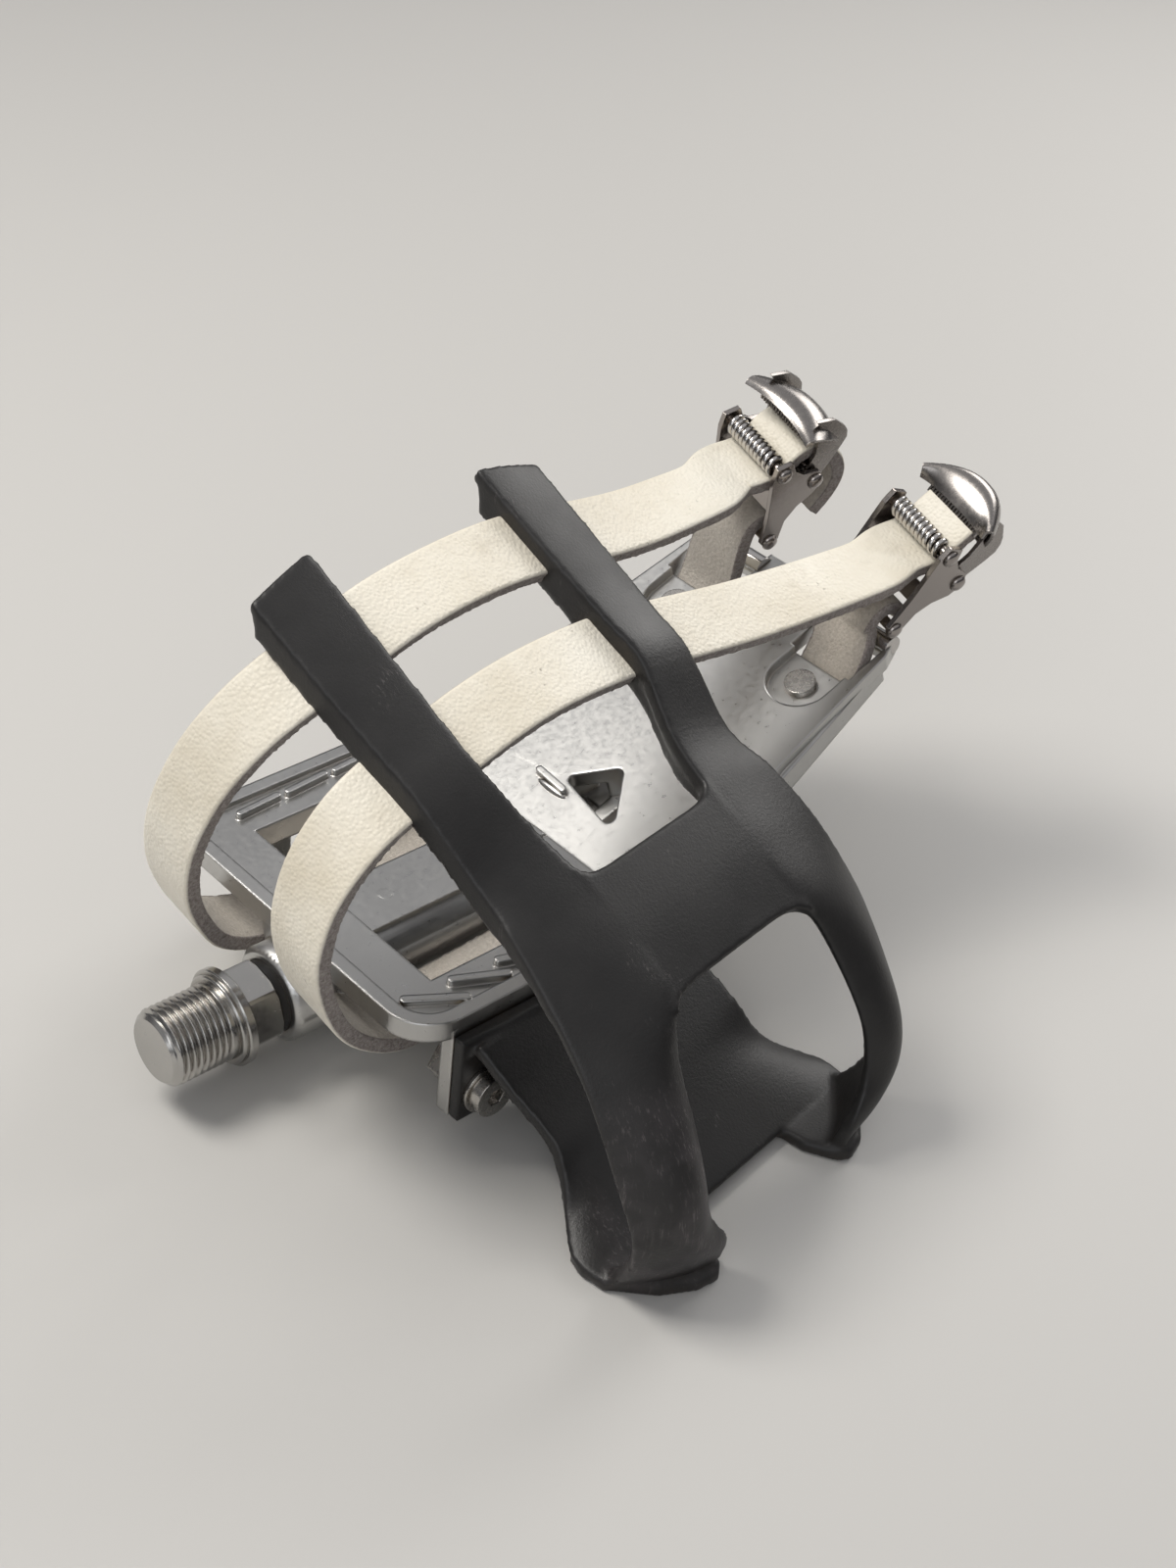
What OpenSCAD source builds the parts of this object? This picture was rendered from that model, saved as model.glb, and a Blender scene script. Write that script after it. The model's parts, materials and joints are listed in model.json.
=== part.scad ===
// Left platform bicycle pedal with a moulded double-strap toe clip, two leather
// straps and two sprung cam buckles.
// Frame: +X runs along the spindle away from the crank, -Y points to the toe,
// +Z is up. The origin is on the spindle axis at the face of the crank shoulder.

/* [Spindle] */

// Outside diameter of the crank thread
thread_d = 14.29; // [12.5:0.01:14.5]
// Length of the threaded end in front of the shoulder
thread_len = 12.7; // [11:0.1:15]
// Diameter of the crank shoulder
shoulder_d = 18; // [16:0.5:22]
// Width of the spanner hexagon across its flats
hex_af = 14; // [13:0.5:16]
// Running clearance between the spindle and its seal
seal_gap = 0.05; // [0.02:0.01:0.1]

/* [Body] */

// Height of the foot platform above the spindle axis
deck_z = 14; // [12:0.5:18]
// Depth of the cage below the spindle axis
cage_drop = 12.5; // [11:0.5:16]
// Half the length of the cage in the toe direction
half_len = 36; // [32:0.5:40]
// Inboard face of the cage
cage_x = 14.5; // [13:0.5:18]
// Place where the outboard wing starts to rise
wing_x = 70; // [60:1:80]
// Slope of the wing in degrees
wing_tilt = 21.5; // [10:0.5:30]
// Outside diameter of the bearing barrel
barrel_d = 18; // [15:0.5:22]

/* [Straps] */

// Width of each leather strap
strap_w = 13; // [11:0.5:15]
// Thickness of the leather
strap_t = 2.8; // [2:0.1:3.5]

/* [Toe clip] */

// Wall thickness of the moulded clip
clip_t = 2.5; // [2:0.1:3.5]
// Turn of the clip toward the outboard side in degrees
clip_yaw = 8; // [0:1:12]
// Height of the strap slots in the arms
slot_h = 4.6; // [3.6:0.1:5]

/* [Buckles] */

// Side tilt of both buckles in degrees
buckle_tilt = 13; // [0:1:30]
// Turn of both buckles toward the heel in degrees
buckle_yaw = 6; // [0:1:15]
// Lean of the front buckle frame above the horizontal in degrees
lean_front = 62; // [40:1:110]
// Lean of the rear buckle frame above the horizontal in degrees
lean_rear = 95; // [40:1:110]
// Wire thickness of the buckle springs
wire_d = 1.1; // [0.8:0.1:1.5]

/* [View] */

// Name of the piece to draw, or all

/* [Hidden] */

$fn = 64;
axle_d = 9;
bar_d = 4;
clip_x = 48.8;
clip_y = -36;
buckle_f = [143.3, -20.9, 61];
buckle_r = [128, 8.6, 69];
pivot_p = 4.5;
pivot_q = 8.5;
cam_r = 4;
roll_r = 4;
frame_len = 17.5;
bolt_x = [27.5, 64];
bolt_z = -1.5;
wall_t = 3;
slot_y = 17;

steel = [0.78, 0.77, 0.75];
dark_steel = [0.42, 0.41, 0.4];
alloy = [0.72, 0.74, 0.73];
nylon = [0.09, 0.09, 0.09];
leather = [0.88, 0.85, 0.74];
rubber = [0.06, 0.06, 0.06];

// Smooth curve through listed points
function cr(p0, p1, p2, p3, t) =
    0.5 * ((2 * p1) + (p2 - p0) * t + (2 * p0 - 5 * p1 + 4 * p2 - p3) * t * t
    + (3 * p1 - p0 - 3 * p2 + p3) * t * t * t);
function smooth(pts, k) = let (n = len(pts)) concat(
    [for (i = [0:n - 2]) for (j = [0:k - 1])
        cr(pts[max(i - 1, 0)], pts[i], pts[i + 1], pts[min(i + 2, n - 1)], j / k)],
    [pts[n - 1]]);
function unit(v) = v / norm(v);
function rotx(v, t) = [v[0], v[1] * cos(t) - v[2] * sin(t), v[1] * sin(t) + v[2] * cos(t)];
function roty(v, t) = [v[0] * cos(t) + v[2] * sin(t), v[1], v[2] * cos(t) - v[0] * sin(t)];
function rotz(v, t) = [v[0] * cos(t) - v[1] * sin(t), v[0] * sin(t) + v[1] * cos(t), v[2]];
function from_buckle(b, v) = b + rotz(rotx(v, buckle_tilt), -buckle_yaw);

// Normal of a grid of points at row i and column j
function grid_normal(g, i, j) = let (
    n = len(g), m = len(g[0]),
    a = g[min(i + 1, n - 1)][j] - g[max(i - 1, 0)][j],
    b = g[i][min(j + 1, m - 1)] - g[i][max(j - 1, 0)])
    unit(cross(a, b));

// Sheet of even thickness under a grid of surface points
module sheet(g, t) {
    n = len(g);
    m = len(g[0]);
    top = [for (i = [0:n - 1]) for (j = [0:m - 1]) g[i][j]];
    low = [for (i = [0:n - 1]) for (j = [0:m - 1]) g[i][j] - t * grid_normal(g, i, j)];
    k = n * m;
    up = [for (i = [0:n - 2]) for (j = [0:m - 2])
        each [[i * m + j, (i + 1) * m + j, (i + 1) * m + j + 1],
              [i * m + j, (i + 1) * m + j + 1, i * m + j + 1]]];
    dn = [for (f = up) [f[0] + k, f[2] + k, f[1] + k]];
    s0 = [for (i = [0:n - 2]) each
        [[i * m, i * m + k, (i + 1) * m + k], [i * m, (i + 1) * m + k, (i + 1) * m]]];
    s1 = [for (i = [0:n - 2]) let (a = i * m + m - 1, b = (i + 1) * m + m - 1) each
        [[a, b + k, a + k], [a, b, b + k]]];
    e0 = [for (j = [0:m - 2]) each [[j, j + 1, j + 1 + k], [j, j + 1 + k, j + k]]];
    e1 = [for (j = [0:m - 2]) let (a = (n - 1) * m + j) each
        [[a, a + 1 + k, a + 1], [a, a + k, a + 1 + k]]];
    polyhedron(points = concat(top, low),
        faces = [for (f = concat(up, dn, s0, s1, e0, e1)) [f[0], f[2], f[1]]]);
}

// Station of a strap round a bar or roller: angle from straight down toward outboard
function wrap(b, r, a, out) = let (
    v = from_buckle(b, [r * sin(a) + out * cos(a), 0, out * sin(a) - r * cos(a)]))
    [v[0], v[1], v[2], buckle_tilt, buckle_yaw];

// Strap stations are x, y, z of the middle, then side tilt and turn in degrees
function strap_grid(st) = [for (i = [0:len(st) - 1]) let (
    a = st[max(i - 1, 0)], b = st[min(i + 1, len(st) - 1)],
    d = unit([b[0] - a[0], b[1] - a[1], b[2] - a[2]]),
    w = rotz([0, cos(st[i][3]), sin(st[i][3])], -st[i][4]),
    s = unit(w - (w * d) * d),
    o = unit(cross(d, s)),
    c = [st[i][0], st[i][1], st[i][2]] + o * strap_t / 2)
    [c - s * strap_w / 2, c + s * strap_w / 2]];

bar_f = from_buckle(buckle_f, roty([1, 0, -frame_len], 90 - lean_front));
bar_r = from_buckle(buckle_r, roty([1, 0, -frame_len], 90 - lean_rear));
cam_c = from_buckle(buckle_r, roty([pivot_q, 0, -pivot_p], 90 - lean_rear));
front_route = concat([for (a = [120:30:270]) wrap(bar_f, 3, a, 0)], [wrap(bar_f, 3, 270, 3.5)],
    [[131.5, -17, 37.5, 4, 1], [129.6, -17, 33.5, 3, 0], [123, -17, 23, 2, 0],
    [111, -17, 14, 1, 0], [94, -17, 7, 0, 0], [72, -17, 2, 0, 0], [48, -17, 0, 0, 0],
    [30, -17.2, -0.5, 3, 0], [21, -17.6, 1, 6, 0], [13, -18.4, 6.5, 8, 0],
    [7, -19.6, 14, 10, 0], [2.5, -21, 24, 12, 0], [0.5, -22.2, 34, 15, 0],
    [2.2, -23.4, 44.5, 19, 0], [7, -24.4, 52.4, 24, 0], [12.5, -24.8, 56.8, 27, 0],
    [19.9, -24.6, 59.4, 29, 0], [33, -22.8, 62, 29, 0], [46, -20.9, 62.8, 29, 0],
    [60, -19, 61.8, 29, 0], [73.4, -17.1, 59.4, 28, 0], [86, -17, 57.6, 26, 1],
    [99, -17.4, 56, 23, 2], [112, -18.2, 55.4, 19, 4], [124, -19.2, 55.4, 15, 5],
    [132, -20, 55.8, 13, 6]],
    [for (d = [-6, -2.5]) wrap(buckle_f, roll_r, 6, d)],
    [for (a = [6, 24, 42]) wrap(buckle_f, roll_r, a, 0)],
    [for (d = [3, 6.5]) wrap(buckle_f, roll_r, 42, d)]);
rear_route = concat([for (a = [120:30:270]) wrap(bar_r, 3, a, 0)], [wrap(bar_r, 3, 270, 3.5)],
    [[129.6, 16.4, 38, 4, 1], [128.6, 17, 32.5, 3, 0], [123, 17, 23, 2, 0],
    [111, 17, 14, 1, 0], [94, 17, 7, 0, 0], [72, 17.2, 2, 0, 0],
    [48, 17.5, 0, 0, 0], [30, 17.8, -0.5, 2, 0], [19, 18, 0.5, 4, 0], [10, 17, 5.5, 7, 0],
    [4, 14.6, 14, 10, 0], [-1.2, 11, 26, 14, 0], [-3, 6.8, 39, 17, 0],
    [-0.7, 2.2, 52, 20, 0], [4.3, -1.6, 61.4, 24, 0], [10.3, -3.8, 67, 27, 0],
    [17.1, -4.6, 70.2, 29, 0], [31, -2.6, 72.8, 29, 0], [44, -0.8, 73.5, 29, 0],
    [58, 1.2, 72.6, 29, 0], [70.6, 2.9, 70.2, 28, 0], [82, 4.4, 67.6, 25, 1],
    [94, 5.8, 65.4, 21, 3], [106, 7, 64.4, 17, 4], [115, 7.8, 64.2, 14, 5]],
    [for (d = [-7, -3]) wrap(buckle_r, roll_r, 5, d)],
    [for (a = [5, 30, 56]) wrap(buckle_r, roll_r, a, 0)],
    [for (a = [232, 205, 178, 154]) wrap(cam_c, cam_r + 1.6, a, 0)],
    [for (t = [[13.9, -0.6], [16.8, -3.6], [18.4, -7.6], [17.6, -12], [15.2, -16]])
        let (v = from_buckle(buckle_r, [t[0], 0, t[1]]))
        [v[0], v[1], v[2], buckle_tilt, buckle_yaw]]);

// Clip coordinates: u across, v along the foot, both turned about the cage front
module in_clip() {
    translate([clip_x, clip_y, 0])
        rotate([0, 0, clip_yaw])
            children();
}

// Buckle coordinates: origin on the roller, p toward the strap bar, q outboard
module in_buckle(b, lean) {
    translate(b)
        rotate([buckle_tilt, 0, -buckle_yaw])
            rotate([0, 90 - lean, 0])
                children();
}

module rounded_plate(x0, x1, y, r, t) {
    linear_extrude(t)
        union() {
            translate([x0 + r, -y]) square([x1 - x0 - r, 2 * y]);
            translate([x0, -y + r]) square([r + 1, 2 * y - 2 * r]);
            for (s = [-1, 1]) translate([x0 + r, s * (y - r)]) circle(r);
        }
}

// Wing coordinates: origin at the bend, x up the slope, z square to its face
module in_wing() {
    translate([wing_x, 0, deck_z])
        rotate([0, -wing_tilt, 0])
            children();
}

module wing_outline() {
    polygon([[-6, -35.5], [12, -33], [38, -28.5], [68, -26], [72, -24.5], [74, -21],
        [74, 21], [72, 24.5], [68, 26], [38, 28.5], [12, 33], [-6, 35.5]]);
}

// Raised lip round the front, the inboard edge and both corners of the deck
module deck_lip() {
    difference() {
        translate([0, 0, deck_z - 3.5]) rounded_plate(cage_x, wing_x, half_len, 9, 4);
        translate([0, 0, deck_z - 4]) rounded_plate(cage_x + 2.8, wing_x + 1, half_len - 2.8, 6.2, 6);
    }
}

// Window with rounded corners beside the barrel's end
module wing_window(s) {
    in_wing() translate([0, 0, -8]) linear_extrude(16) hull()
        for (q = [[10.4, 3], [16.4, 6.2], [8.6, 12.4]]) translate([q[0], s * q[1]]) circle(1.2, $fn = 24);
}

module body() {
    color(alloy)
    difference() {
        union() {
            // Deck plate and its lip
            translate([0, 0, deck_z - 3.5]) rounded_plate(cage_x, wing_x + 1, half_len, 9, 3);
            deck_lip();
            // Front wall behind the clip's flange
            translate([22, -half_len, -7]) cube([50, wall_t, deck_z + 5]);
            // Rear wall, down to the depth of the cage
            translate([30, half_len - wall_t, -cage_drop]) cube([36, wall_t, cage_drop + deck_z - 2]);
            // Thick inner edge of the rear strip
            translate([24, 25, deck_z - 5.5]) cube([46, 3, 4]);
            // Outboard wing
            in_wing() translate([0, 0, -3.5]) linear_extrude(3.5) wing_outline();
            // Beveled side lips of the wing
            in_wing() for (s = [-1, 1]) hull() {
                translate([2, s * 32.5, -5.5]) cube([2, 3, 6], center = true);
                translate([66, s * 24.6, -4]) cube([2, 2.4, 4], center = true);
            }
            // Barrel, its end rim and the flat panel on its top
            translate([11.8, 0, 0]) rotate([0, 90, 0])
                cylinder(d = barrel_d, h = 78);
            translate([10.8, 0, 0]) rotate([0, 90, 0])
                cylinder(d1 = barrel_d - 2, d2 = barrel_d, h = 1);
            translate([86, 0, 0]) rotate([0, 90, 0]) cylinder(d = 19, h = 8);
            hull() {
                translate([24, -4.2, 8]) cube([46, 8.4, 1.6]);
                translate([24, -6.5, 2]) cube([46, 13, 1]);
            }
            translate([36, 0, 9]) cylinder(d = 2.6, h = 1.6);
            // Web from the barrel to the inboard strip, with a fillet
            hull() {
                translate([cage_x + 1, -7, 2]) cube([10.5, 14, 1]);
                translate([cage_x + 1, -8.6, deck_z - 3.2]) cube([10.5, 17.2, 1]);
            }
            // Bridge from the barrel to the wing
            for (s = [-1, 1]) translate([wing_x - 6, s * 5 - 1.5, 2]) cube([27, 3, 20]);
            translate([wing_x - 5, -34, 6]) cube([5, 68, 7]);
        }
        // Deck window between the inboard strip and the wing, both sides of the barrel
        for (s = [-1, 1]) translate([26, s * 15.9 - 9.1, deck_z - 7]) cube([38, 18.2, 14]);
        translate([26, -10, 10.8]) cube([38, 20, 9]);
        // Material above the deck and the wing face that the bridges left
        translate([wing_x - 9, -9, deck_z]) cube([9, 18, 12]);
        in_wing() translate([-2, -40, 0]) cube([90, 80, 20]);
        // Two three-cornered windows beside the barrel end
        for (s = [-1, 1]) wing_window(s);
        // Rear wall opening
        translate([40, half_len - 5, -7]) cube([16, 8, 15]);
        // Strap way under the wing
        for (s = [-1, 1]) translate([wing_x - 8, s * slot_y - 8, -cage_drop - 1]) cube([12, 16, 21]);
        // Channels for the straps, closed outboard by the bars
        for (s = [-1, 1]) in_wing() {
            translate([54, s * slot_y, -2]) cylinder(d = 13, h = 6);
            translate([54, s * slot_y - 6.5, -2]) cube([6, 13, 6]);
            translate([59.5, s * slot_y - 7.5, -12]) cube([9.5, 15, 20]);
            translate([72, s * slot_y - 7, -2]) cube([6, 14, 6]);
            translate([54, s * slot_y, -6]) cylinder(d = 3.3, h = 10);
            translate([71, s * slot_y - 8, -0.6]) rotate([-90, 0, 0]) cylinder(d = bar_d, h = 16);
        }
        // Bearing bore and cup seats
        rotate([0, 90, 0]) cylinder(d = 12, h = 100);
        translate([10, 0, 0]) rotate([0, 90, 0]) cylinder(d = 13.4, h = 3.2);
        translate([13.2, 0, 0]) rotate([0, 90, 0]) cylinder(d = 14.4, h = 6.3);
        translate([82, 0, 0]) rotate([0, 90, 0]) cylinder(d = 14.4, h = 13);
        // Clip bolt holes in the front wall
        for (x = bolt_x) translate([x, -half_len - 1, bolt_z]) rotate([-90, 0, 0])
            cylinder(d = 5.2, h = 6);
    }
    color(alloy) {
        // Raised grip ridges on the front strip, each shorter than the last
        for (i = [0:2]) translate([18.6 + 9.6 * i, -27 - 0.8 * i, deck_z - 0.8])
            rotate([0, 0, -32 + 6 * i]) ridge(10.5 - 0.8 * i, 1.6);
        // Raised grip ridges on the rear strip
        for (i = [0:3]) translate([26 + 11 * i, 29.6 + 0.4 * i, deck_z - 0.8])
            rotate([0, 0, 4]) ridge(8.6, 1.4);
        // Short ridges on the lower wing
        in_wing() translate([7, -1.5, -0.4]) rotate([0, 0, 86]) ridge(7, 1.4);
    }
}

// Low ridge with round ends
module ridge(len, w) {
    translate([0, -w / 2, 0]) cube([len, w, 1.6]);
    for (x = [0, len]) translate([x, 0, 0]) cylinder(d = w, h = 1.6);
}

module spindle() {
    color(steel) rotate([0, 90, 0]) {
        translate([0, 0, -thread_len]) cylinder(d1 = thread_d - 2, d2 = thread_d, h = 1);
        translate([0, 0, -thread_len + 1]) cylinder(d = thread_d, h = thread_len - 1);
        cylinder(d = shoulder_d - 1.4, h = 0.9);
        translate([0, 0, 0.9]) cylinder(d = shoulder_d, h = 1.8);
        translate([0, 0, 2.7]) rotate(10) cylinder(d = hex_af / cos(30), h = 6.2, $fn = 6);
        translate([0, 0, 8.9]) cylinder(d = 11, h = 3.9);
        translate([0, 0, 12.8]) cylinder(d1 = 11, d2 = axle_d, h = 2);
        translate([0, 0, 14.8]) cylinder(d = axle_d, h = 67.2);
        translate([0, 0, 82]) cylinder(d = 7, h = 11);
    }
}

module ring(x, d_out, d_in, h) {
    translate([x, 0, 0]) rotate([0, 90, 0]) difference() {
        cylinder(d = d_out, h = h);
        translate([0, 0, -1]) cylinder(d = d_in, h = h + 2);
    }
}

module bearing_cup_in() {
    color(steel) {
        ring(14, 14.4, 13.8, 5.5);
        ring(18.7, 14.4, 10.4, 0.8);
    }
}

module bearing_cup_out() {
    color(steel) {
        ring(82, 14.4, 13.8, 4.5);
        ring(82, 14.4, 10.4, 0.8);
    }
}

module ball_ring(x) {
    color(steel) for (a = [0:40:320]) rotate([a, 0, 0]) translate([x, 0, 5.7])
        sphere(d = 2.3, $fn = 24);
}

module balls_in() {
    ball_ring(16.6);
}

module balls_out() {
    ball_ring(84);
}

module seal_in() {
    color(rubber) ring(9.3, 13.4, 11 + 2 * seal_gap, 3.4);
}

module cone_out() {
    color(steel) ring(85.6, 10.6, 7, 2.4);
}

module lock_washer() {
    color(steel) ring(88, 10.4, 7, 0.9);
}

module locknut() {
    color(steel) translate([88.9, 0, 0]) rotate([0, 90, 0]) difference() {
        cylinder(d = 11, h = 3, $fn = 6);
        translate([0, 0, -1]) cylinder(d = 7, h = 5);
    }
}

module dust_cap() {
    color(rubber) translate([93.4, 0, 0]) rotate([0, 90, 0]) difference() {
        union() {
            cylinder(d = 14.3, h = 1.6);
            translate([0, 0, 0.6]) cylinder(d = 16.4, h = 1.4);
        }
        translate([0, 0, -1]) cylinder(d = 11, h = 1.6);
    }
}

module slot_bar(s) {
    color(steel) in_wing() translate([71, s * slot_y - 8, -0.6]) rotate([-90, 0, 0])
        cylinder(d = bar_d, h = 16);
}

module slot_bar_front() {
    slot_bar(-1);
}

module slot_bar_rear() {
    slot_bar(1);
}

module slot_screws() {
    color(steel) for (s = [-1, 1]) in_wing() translate([54, s * slot_y, 0]) {
        translate([0, 0, -7.5]) cylinder(d = 3.3, h = 6.9);
        translate([0, 0, -2]) cylinder(d = 6, h = 1.4);
    }
}

module slot_nuts() {
    color(steel) for (s = [-1, 1]) in_wing() translate([54, s * slot_y, -6]) difference() {
        cylinder(d = 6.4, h = 2.5, $fn = 6);
        translate([0, 0, -1]) cylinder(d = 3.3, h = 5);
    }
}

// Rail stations: inner edge u, v, z, outer edge u, v, z, and bulge toward the toe
rail_route = [
    [19.6, 46.3, 82.2, 33.8, 44.8, 79.1, 0], [19.9, 30, 73.4, 33.6, 29, 70.6, 0],
    [20.3, 17, 66.5, 33.2, 16, 63.8, 0], [20.5, 8.7, 62.2, 33.1, 8, 59.6, 0],
    [17.5, -2.1, 53.2, 31.8, -3.3, 49.4, 0], [16, -12, 48, 33.4, -12, 45.2, 0],
    [16, -22, 42.8, 35, -21.5, 38.6, 0.4], [17.2, -31.6, 36.4, 36, -29.4, 30.6, 1.6],
    [20, -36.4, 28.4, 36.6, -34, 24, 3.6], [21.4, -41.6, 20, 36.6, -37, 18, 5],
    [22.2, -45.4, 12, 36.4, -40, 11.6, 5.4], [21.6, -47.4, 4, 35.8, -42.4, 5, 4.6],
    [18, -49, -2.4, 35, -42.6, -1.4, 3.2], [17.4, -48.6, -7.4, 34.2, -40.6, -7, 2],
    [18.6, -47.4, -11.8, 33, -37.4, -11.6, 1]];

function rail_grid(s) = [for (q = smooth(rail_route, 3)) let (
    a = [s * q[0], q[1], q[2]], b = [s * q[3], q[4], q[5]])
    [for (k = [0:6]) let (j = (s > 0) ? k : 6 - k, t = j / 6, e = pow(t, 1.5))
        [a[0] + (b[0] - a[0]) * t, a[1] + (b[1] - a[1]) * t - q[6] * 4 * t * (1 - t),
        a[2] + (b[2] - a[2]) * e]]];

// Bridge between the rails, from the rear window to the front window
bridge_grid = [for (q = smooth([[17, -12, 48], [17, -22, 42.8], [18.4, -32, 36.2]], 4))
    [for (k = [-3:3]) [k / 3 * (q[0] + 0.6), q[1], q[2] + 0.3 * (1 - k * k / 9)]]];

// Base rows: v, half width, height of the middle, height of the margins
base_route = [
    [-9, 25, 5.6, 5.6], [-18, 25, 1, 1], [-22, 26.5, -1.2, -4], [-25, 29.5, -2.9, -7.6],
    [-29, 33, -5.1, -9.6], [-33, 34.5, -7.3, -10], [-38, 34, -10, -10]];
base_grid = concat(
    [[for (k = [-6:6]) let (u = k / 6 * 25) [u, -1.2 - 0.14 * u, 10.5]]],
    [for (q = smooth(base_route, 2)) [for (k = [-6:6]) let (t = pow(abs(k) / 6, 4))
        [k / 6 * q[1], q[0], q[2] * (1 - t) + q[3] * t]]]);

// Arm side wall with its two strap slots, hung from one edge of the band
module arm_wall(u, w, drop) {
    difference() {
        translate([u, 0, 0]) rotate([90, 0, 90]) linear_extrude(w)
            polygon([[46, 80.6], [44.5, 73.5], [8.5, 53.4], [-2.5, 45.8], [-12, 43],
                [-12, 46], [-2.5, 51.2], [8.5, 60.2]]);
        for (v = [15.3, 35.5]) translate([u + w / 2, v, 60.4 + 0.532 * (v - 15.3) - drop])
            rotate([28, 0, 0]) cube([w + 2, strap_w + 2.4, slot_h], center = true);
    }
}

module toe_clip() {
    color(nylon) difference() {
        union() {
            in_clip() {
                sheet(rail_grid(1), clip_t);
                sheet(rail_grid(-1), clip_t);
                sheet(bridge_grid, clip_t);
                // Hanging walls of both arms
                arm_wall(19.4, 2, 0);
                arm_wall(-21.4, 2, 0);
                arm_wall(31.2, 2, 1.6);
                arm_wall(-33.2, 2, 1.6);
                // Sloping base with flared margins
                sheet(base_grid, clip_t);
                // Flat feet with rounded toes
                for (s = [-1, 1]) translate([0, 0, -cage_drop]) linear_extrude(2.5)
                    polygon([[s * 14.5, -36], [s * 14.5, -42], [s * 17, -48], [s * 19, -49.4],
                        [s * 23, -48.6], [s * 28.6, -44.6], [s * 33, -38.6], [s * 34.4, -33],
                        [s * 33, -29.5], [s * 28, -33]]);
            }
            // Flange bolted to the front of the cage
            translate([22, -half_len - clip_t, -7]) cube([50, clip_t, 18]);
        }
        // Bolt holes, the room round the washers and the level of the ground
        for (x = bolt_x) translate([x, -half_len, bolt_z]) rotate([90, 0, 0]) {
            translate([0, 0, -2]) cylinder(d = 5.2, h = 9);
            translate([0, 0, clip_t]) cylinder(d = 9.8, h = 4);
        }
        translate([-50, -150, -cage_drop - 20]) cube([200, 200, 20]);
        // Nothing of the clip reaches behind its flange below the deck
        translate([0, -half_len, -20]) cube([120, 40, 40]);
    }
}

module clip_bolts() {
    color(steel) for (x = bolt_x) translate([x, -half_len, bolt_z]) rotate([90, 0, 0]) {
        translate([0, 0, -8]) cylinder(d = 5, h = 8 + clip_t + 0.8);
        translate([0, 0, clip_t + 0.8]) difference() {
            cylinder(d = 8, h = 2.4);
            translate([0, 0, 1]) cylinder(d = 3.5, h = 2, $fn = 6);
        }
    }
}

module clip_washers() {
    color(steel) for (x = bolt_x) translate([x, -half_len - clip_t, bolt_z])
        rotate([90, 0, 0]) difference() {
            cylinder(d = 9.4, h = 0.8);
            translate([0, 0, -1]) cylinder(d = 5, h = 3);
        }
}

module clip_nuts() {
    color(steel) for (x = bolt_x) translate([x, -half_len + wall_t, bolt_z])
        rotate([-90, 0, 0]) difference() {
            cylinder(d = 9.2, h = 4, $fn = 6);
            translate([0, 0, -1]) cylinder(d = 5, h = 6);
        }
}

module strap_front() {
    color(leather) sheet(strap_grid(smooth(front_route, 3)), strap_t);
}

module strap_rear() {
    color(leather) sheet(strap_grid(smooth(rear_route, 3)), strap_t);
}

// Cheek outline in buckle coordinates, p down and q outboard
module cheek() {
    polygon([[-2, 2], [1.5, 2.4], [2.6, 0], [5, -1.6], [9, -2.2], [10.4, -4.5], [9, -7.5],
        [5.5, -10], [3.4, -13], [3, -frame_len], [1, -frame_len - 1.6], [-1, -frame_len],
        [-1.2, -10], [-2.4, -1]]);
}

module buckle_frame() {
    color(dark_steel) difference() {
        union() {
            for (s = [-1, 1]) translate([0, s * 8.4 + 0.5, 0]) rotate([90, 0, 0])
                linear_extrude(1) cheek();
            // Plate that joins the cheeks behind the cam
            translate([0.6, -8.4, -11.5]) rotate([0, 8, 0]) cube([1, 16.8, 4]);
        }
        translate([0, 12, 0]) rotate([90, 0, 0]) cylinder(d = 2, h = 24);
        translate([pivot_q, 12, -pivot_p]) rotate([90, 0, 0]) cylinder(d = 2, h = 24);
        translate([1, 12, -frame_len]) rotate([90, 0, 0]) cylinder(d = 2, h = 24);
    }
}

module frame_front() {
    in_buckle(buckle_f, lean_front) buckle_frame();
}

module frame_rear() {
    in_buckle(buckle_r, lean_rear) buckle_frame();
}

// Thumb lever with a serrated cam, pivoting in the cheeks
module buckle_lever() {
    color(steel) difference() {
        union() {
            // Cam with a serrated jaw
            translate([pivot_q, 7.3, -pivot_p]) rotate([90, 0, 0]) linear_extrude(14.6)
                polygon([for (i = [0:35]) let (
                    a = 10 * i,
                    c = (a > 115 && a < 225) ? ((i % 2 == 0) ? cam_r : cam_r - 0.8) : 3)
                    [c * cos(a), c * sin(a)]]);
            for (y = [7.6, -6.7]) translate([0, y, 0]) rotate([90, 0, 0]) linear_extrude(0.9)
                polygon([[6.5, -3], [7, -6.8], [9.5, -6.8], [12.5, -2], [15, 3.2],
                    [13.6, 6.4], [10.5, 8.9], [6.2, 9.6], [8, 6.5], [8, 1]]);
            // Curved thumb plate
            translate([5.2, 7.4, -1]) rotate([90, 0, 0]) rotate([0, 0, 25])
                rotate_extrude(angle = 60) translate([9.8, 0]) square([1, 14.8]);
        }
        translate([pivot_q, 12, -pivot_p]) rotate([90, 0, 0]) cylinder(d = 2.06, h = 24);
    }
}

module lever_front() {
    in_buckle(buckle_f, lean_front) buckle_lever();
}

module lever_rear() {
    in_buckle(buckle_r, lean_rear) buckle_lever();
}

module headed_pin(len) {
    color(steel) rotate([90, 0, 0]) {
        translate([0, 0, -len / 2]) cylinder(d = 2, h = len);
        translate([0, 0, -len / 2 - 0.9]) cylinder(d = 3.4, h = 0.9);
        translate([0, 0, len / 2]) cylinder(d = 3.2, h = 0.8);
    }
}

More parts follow.
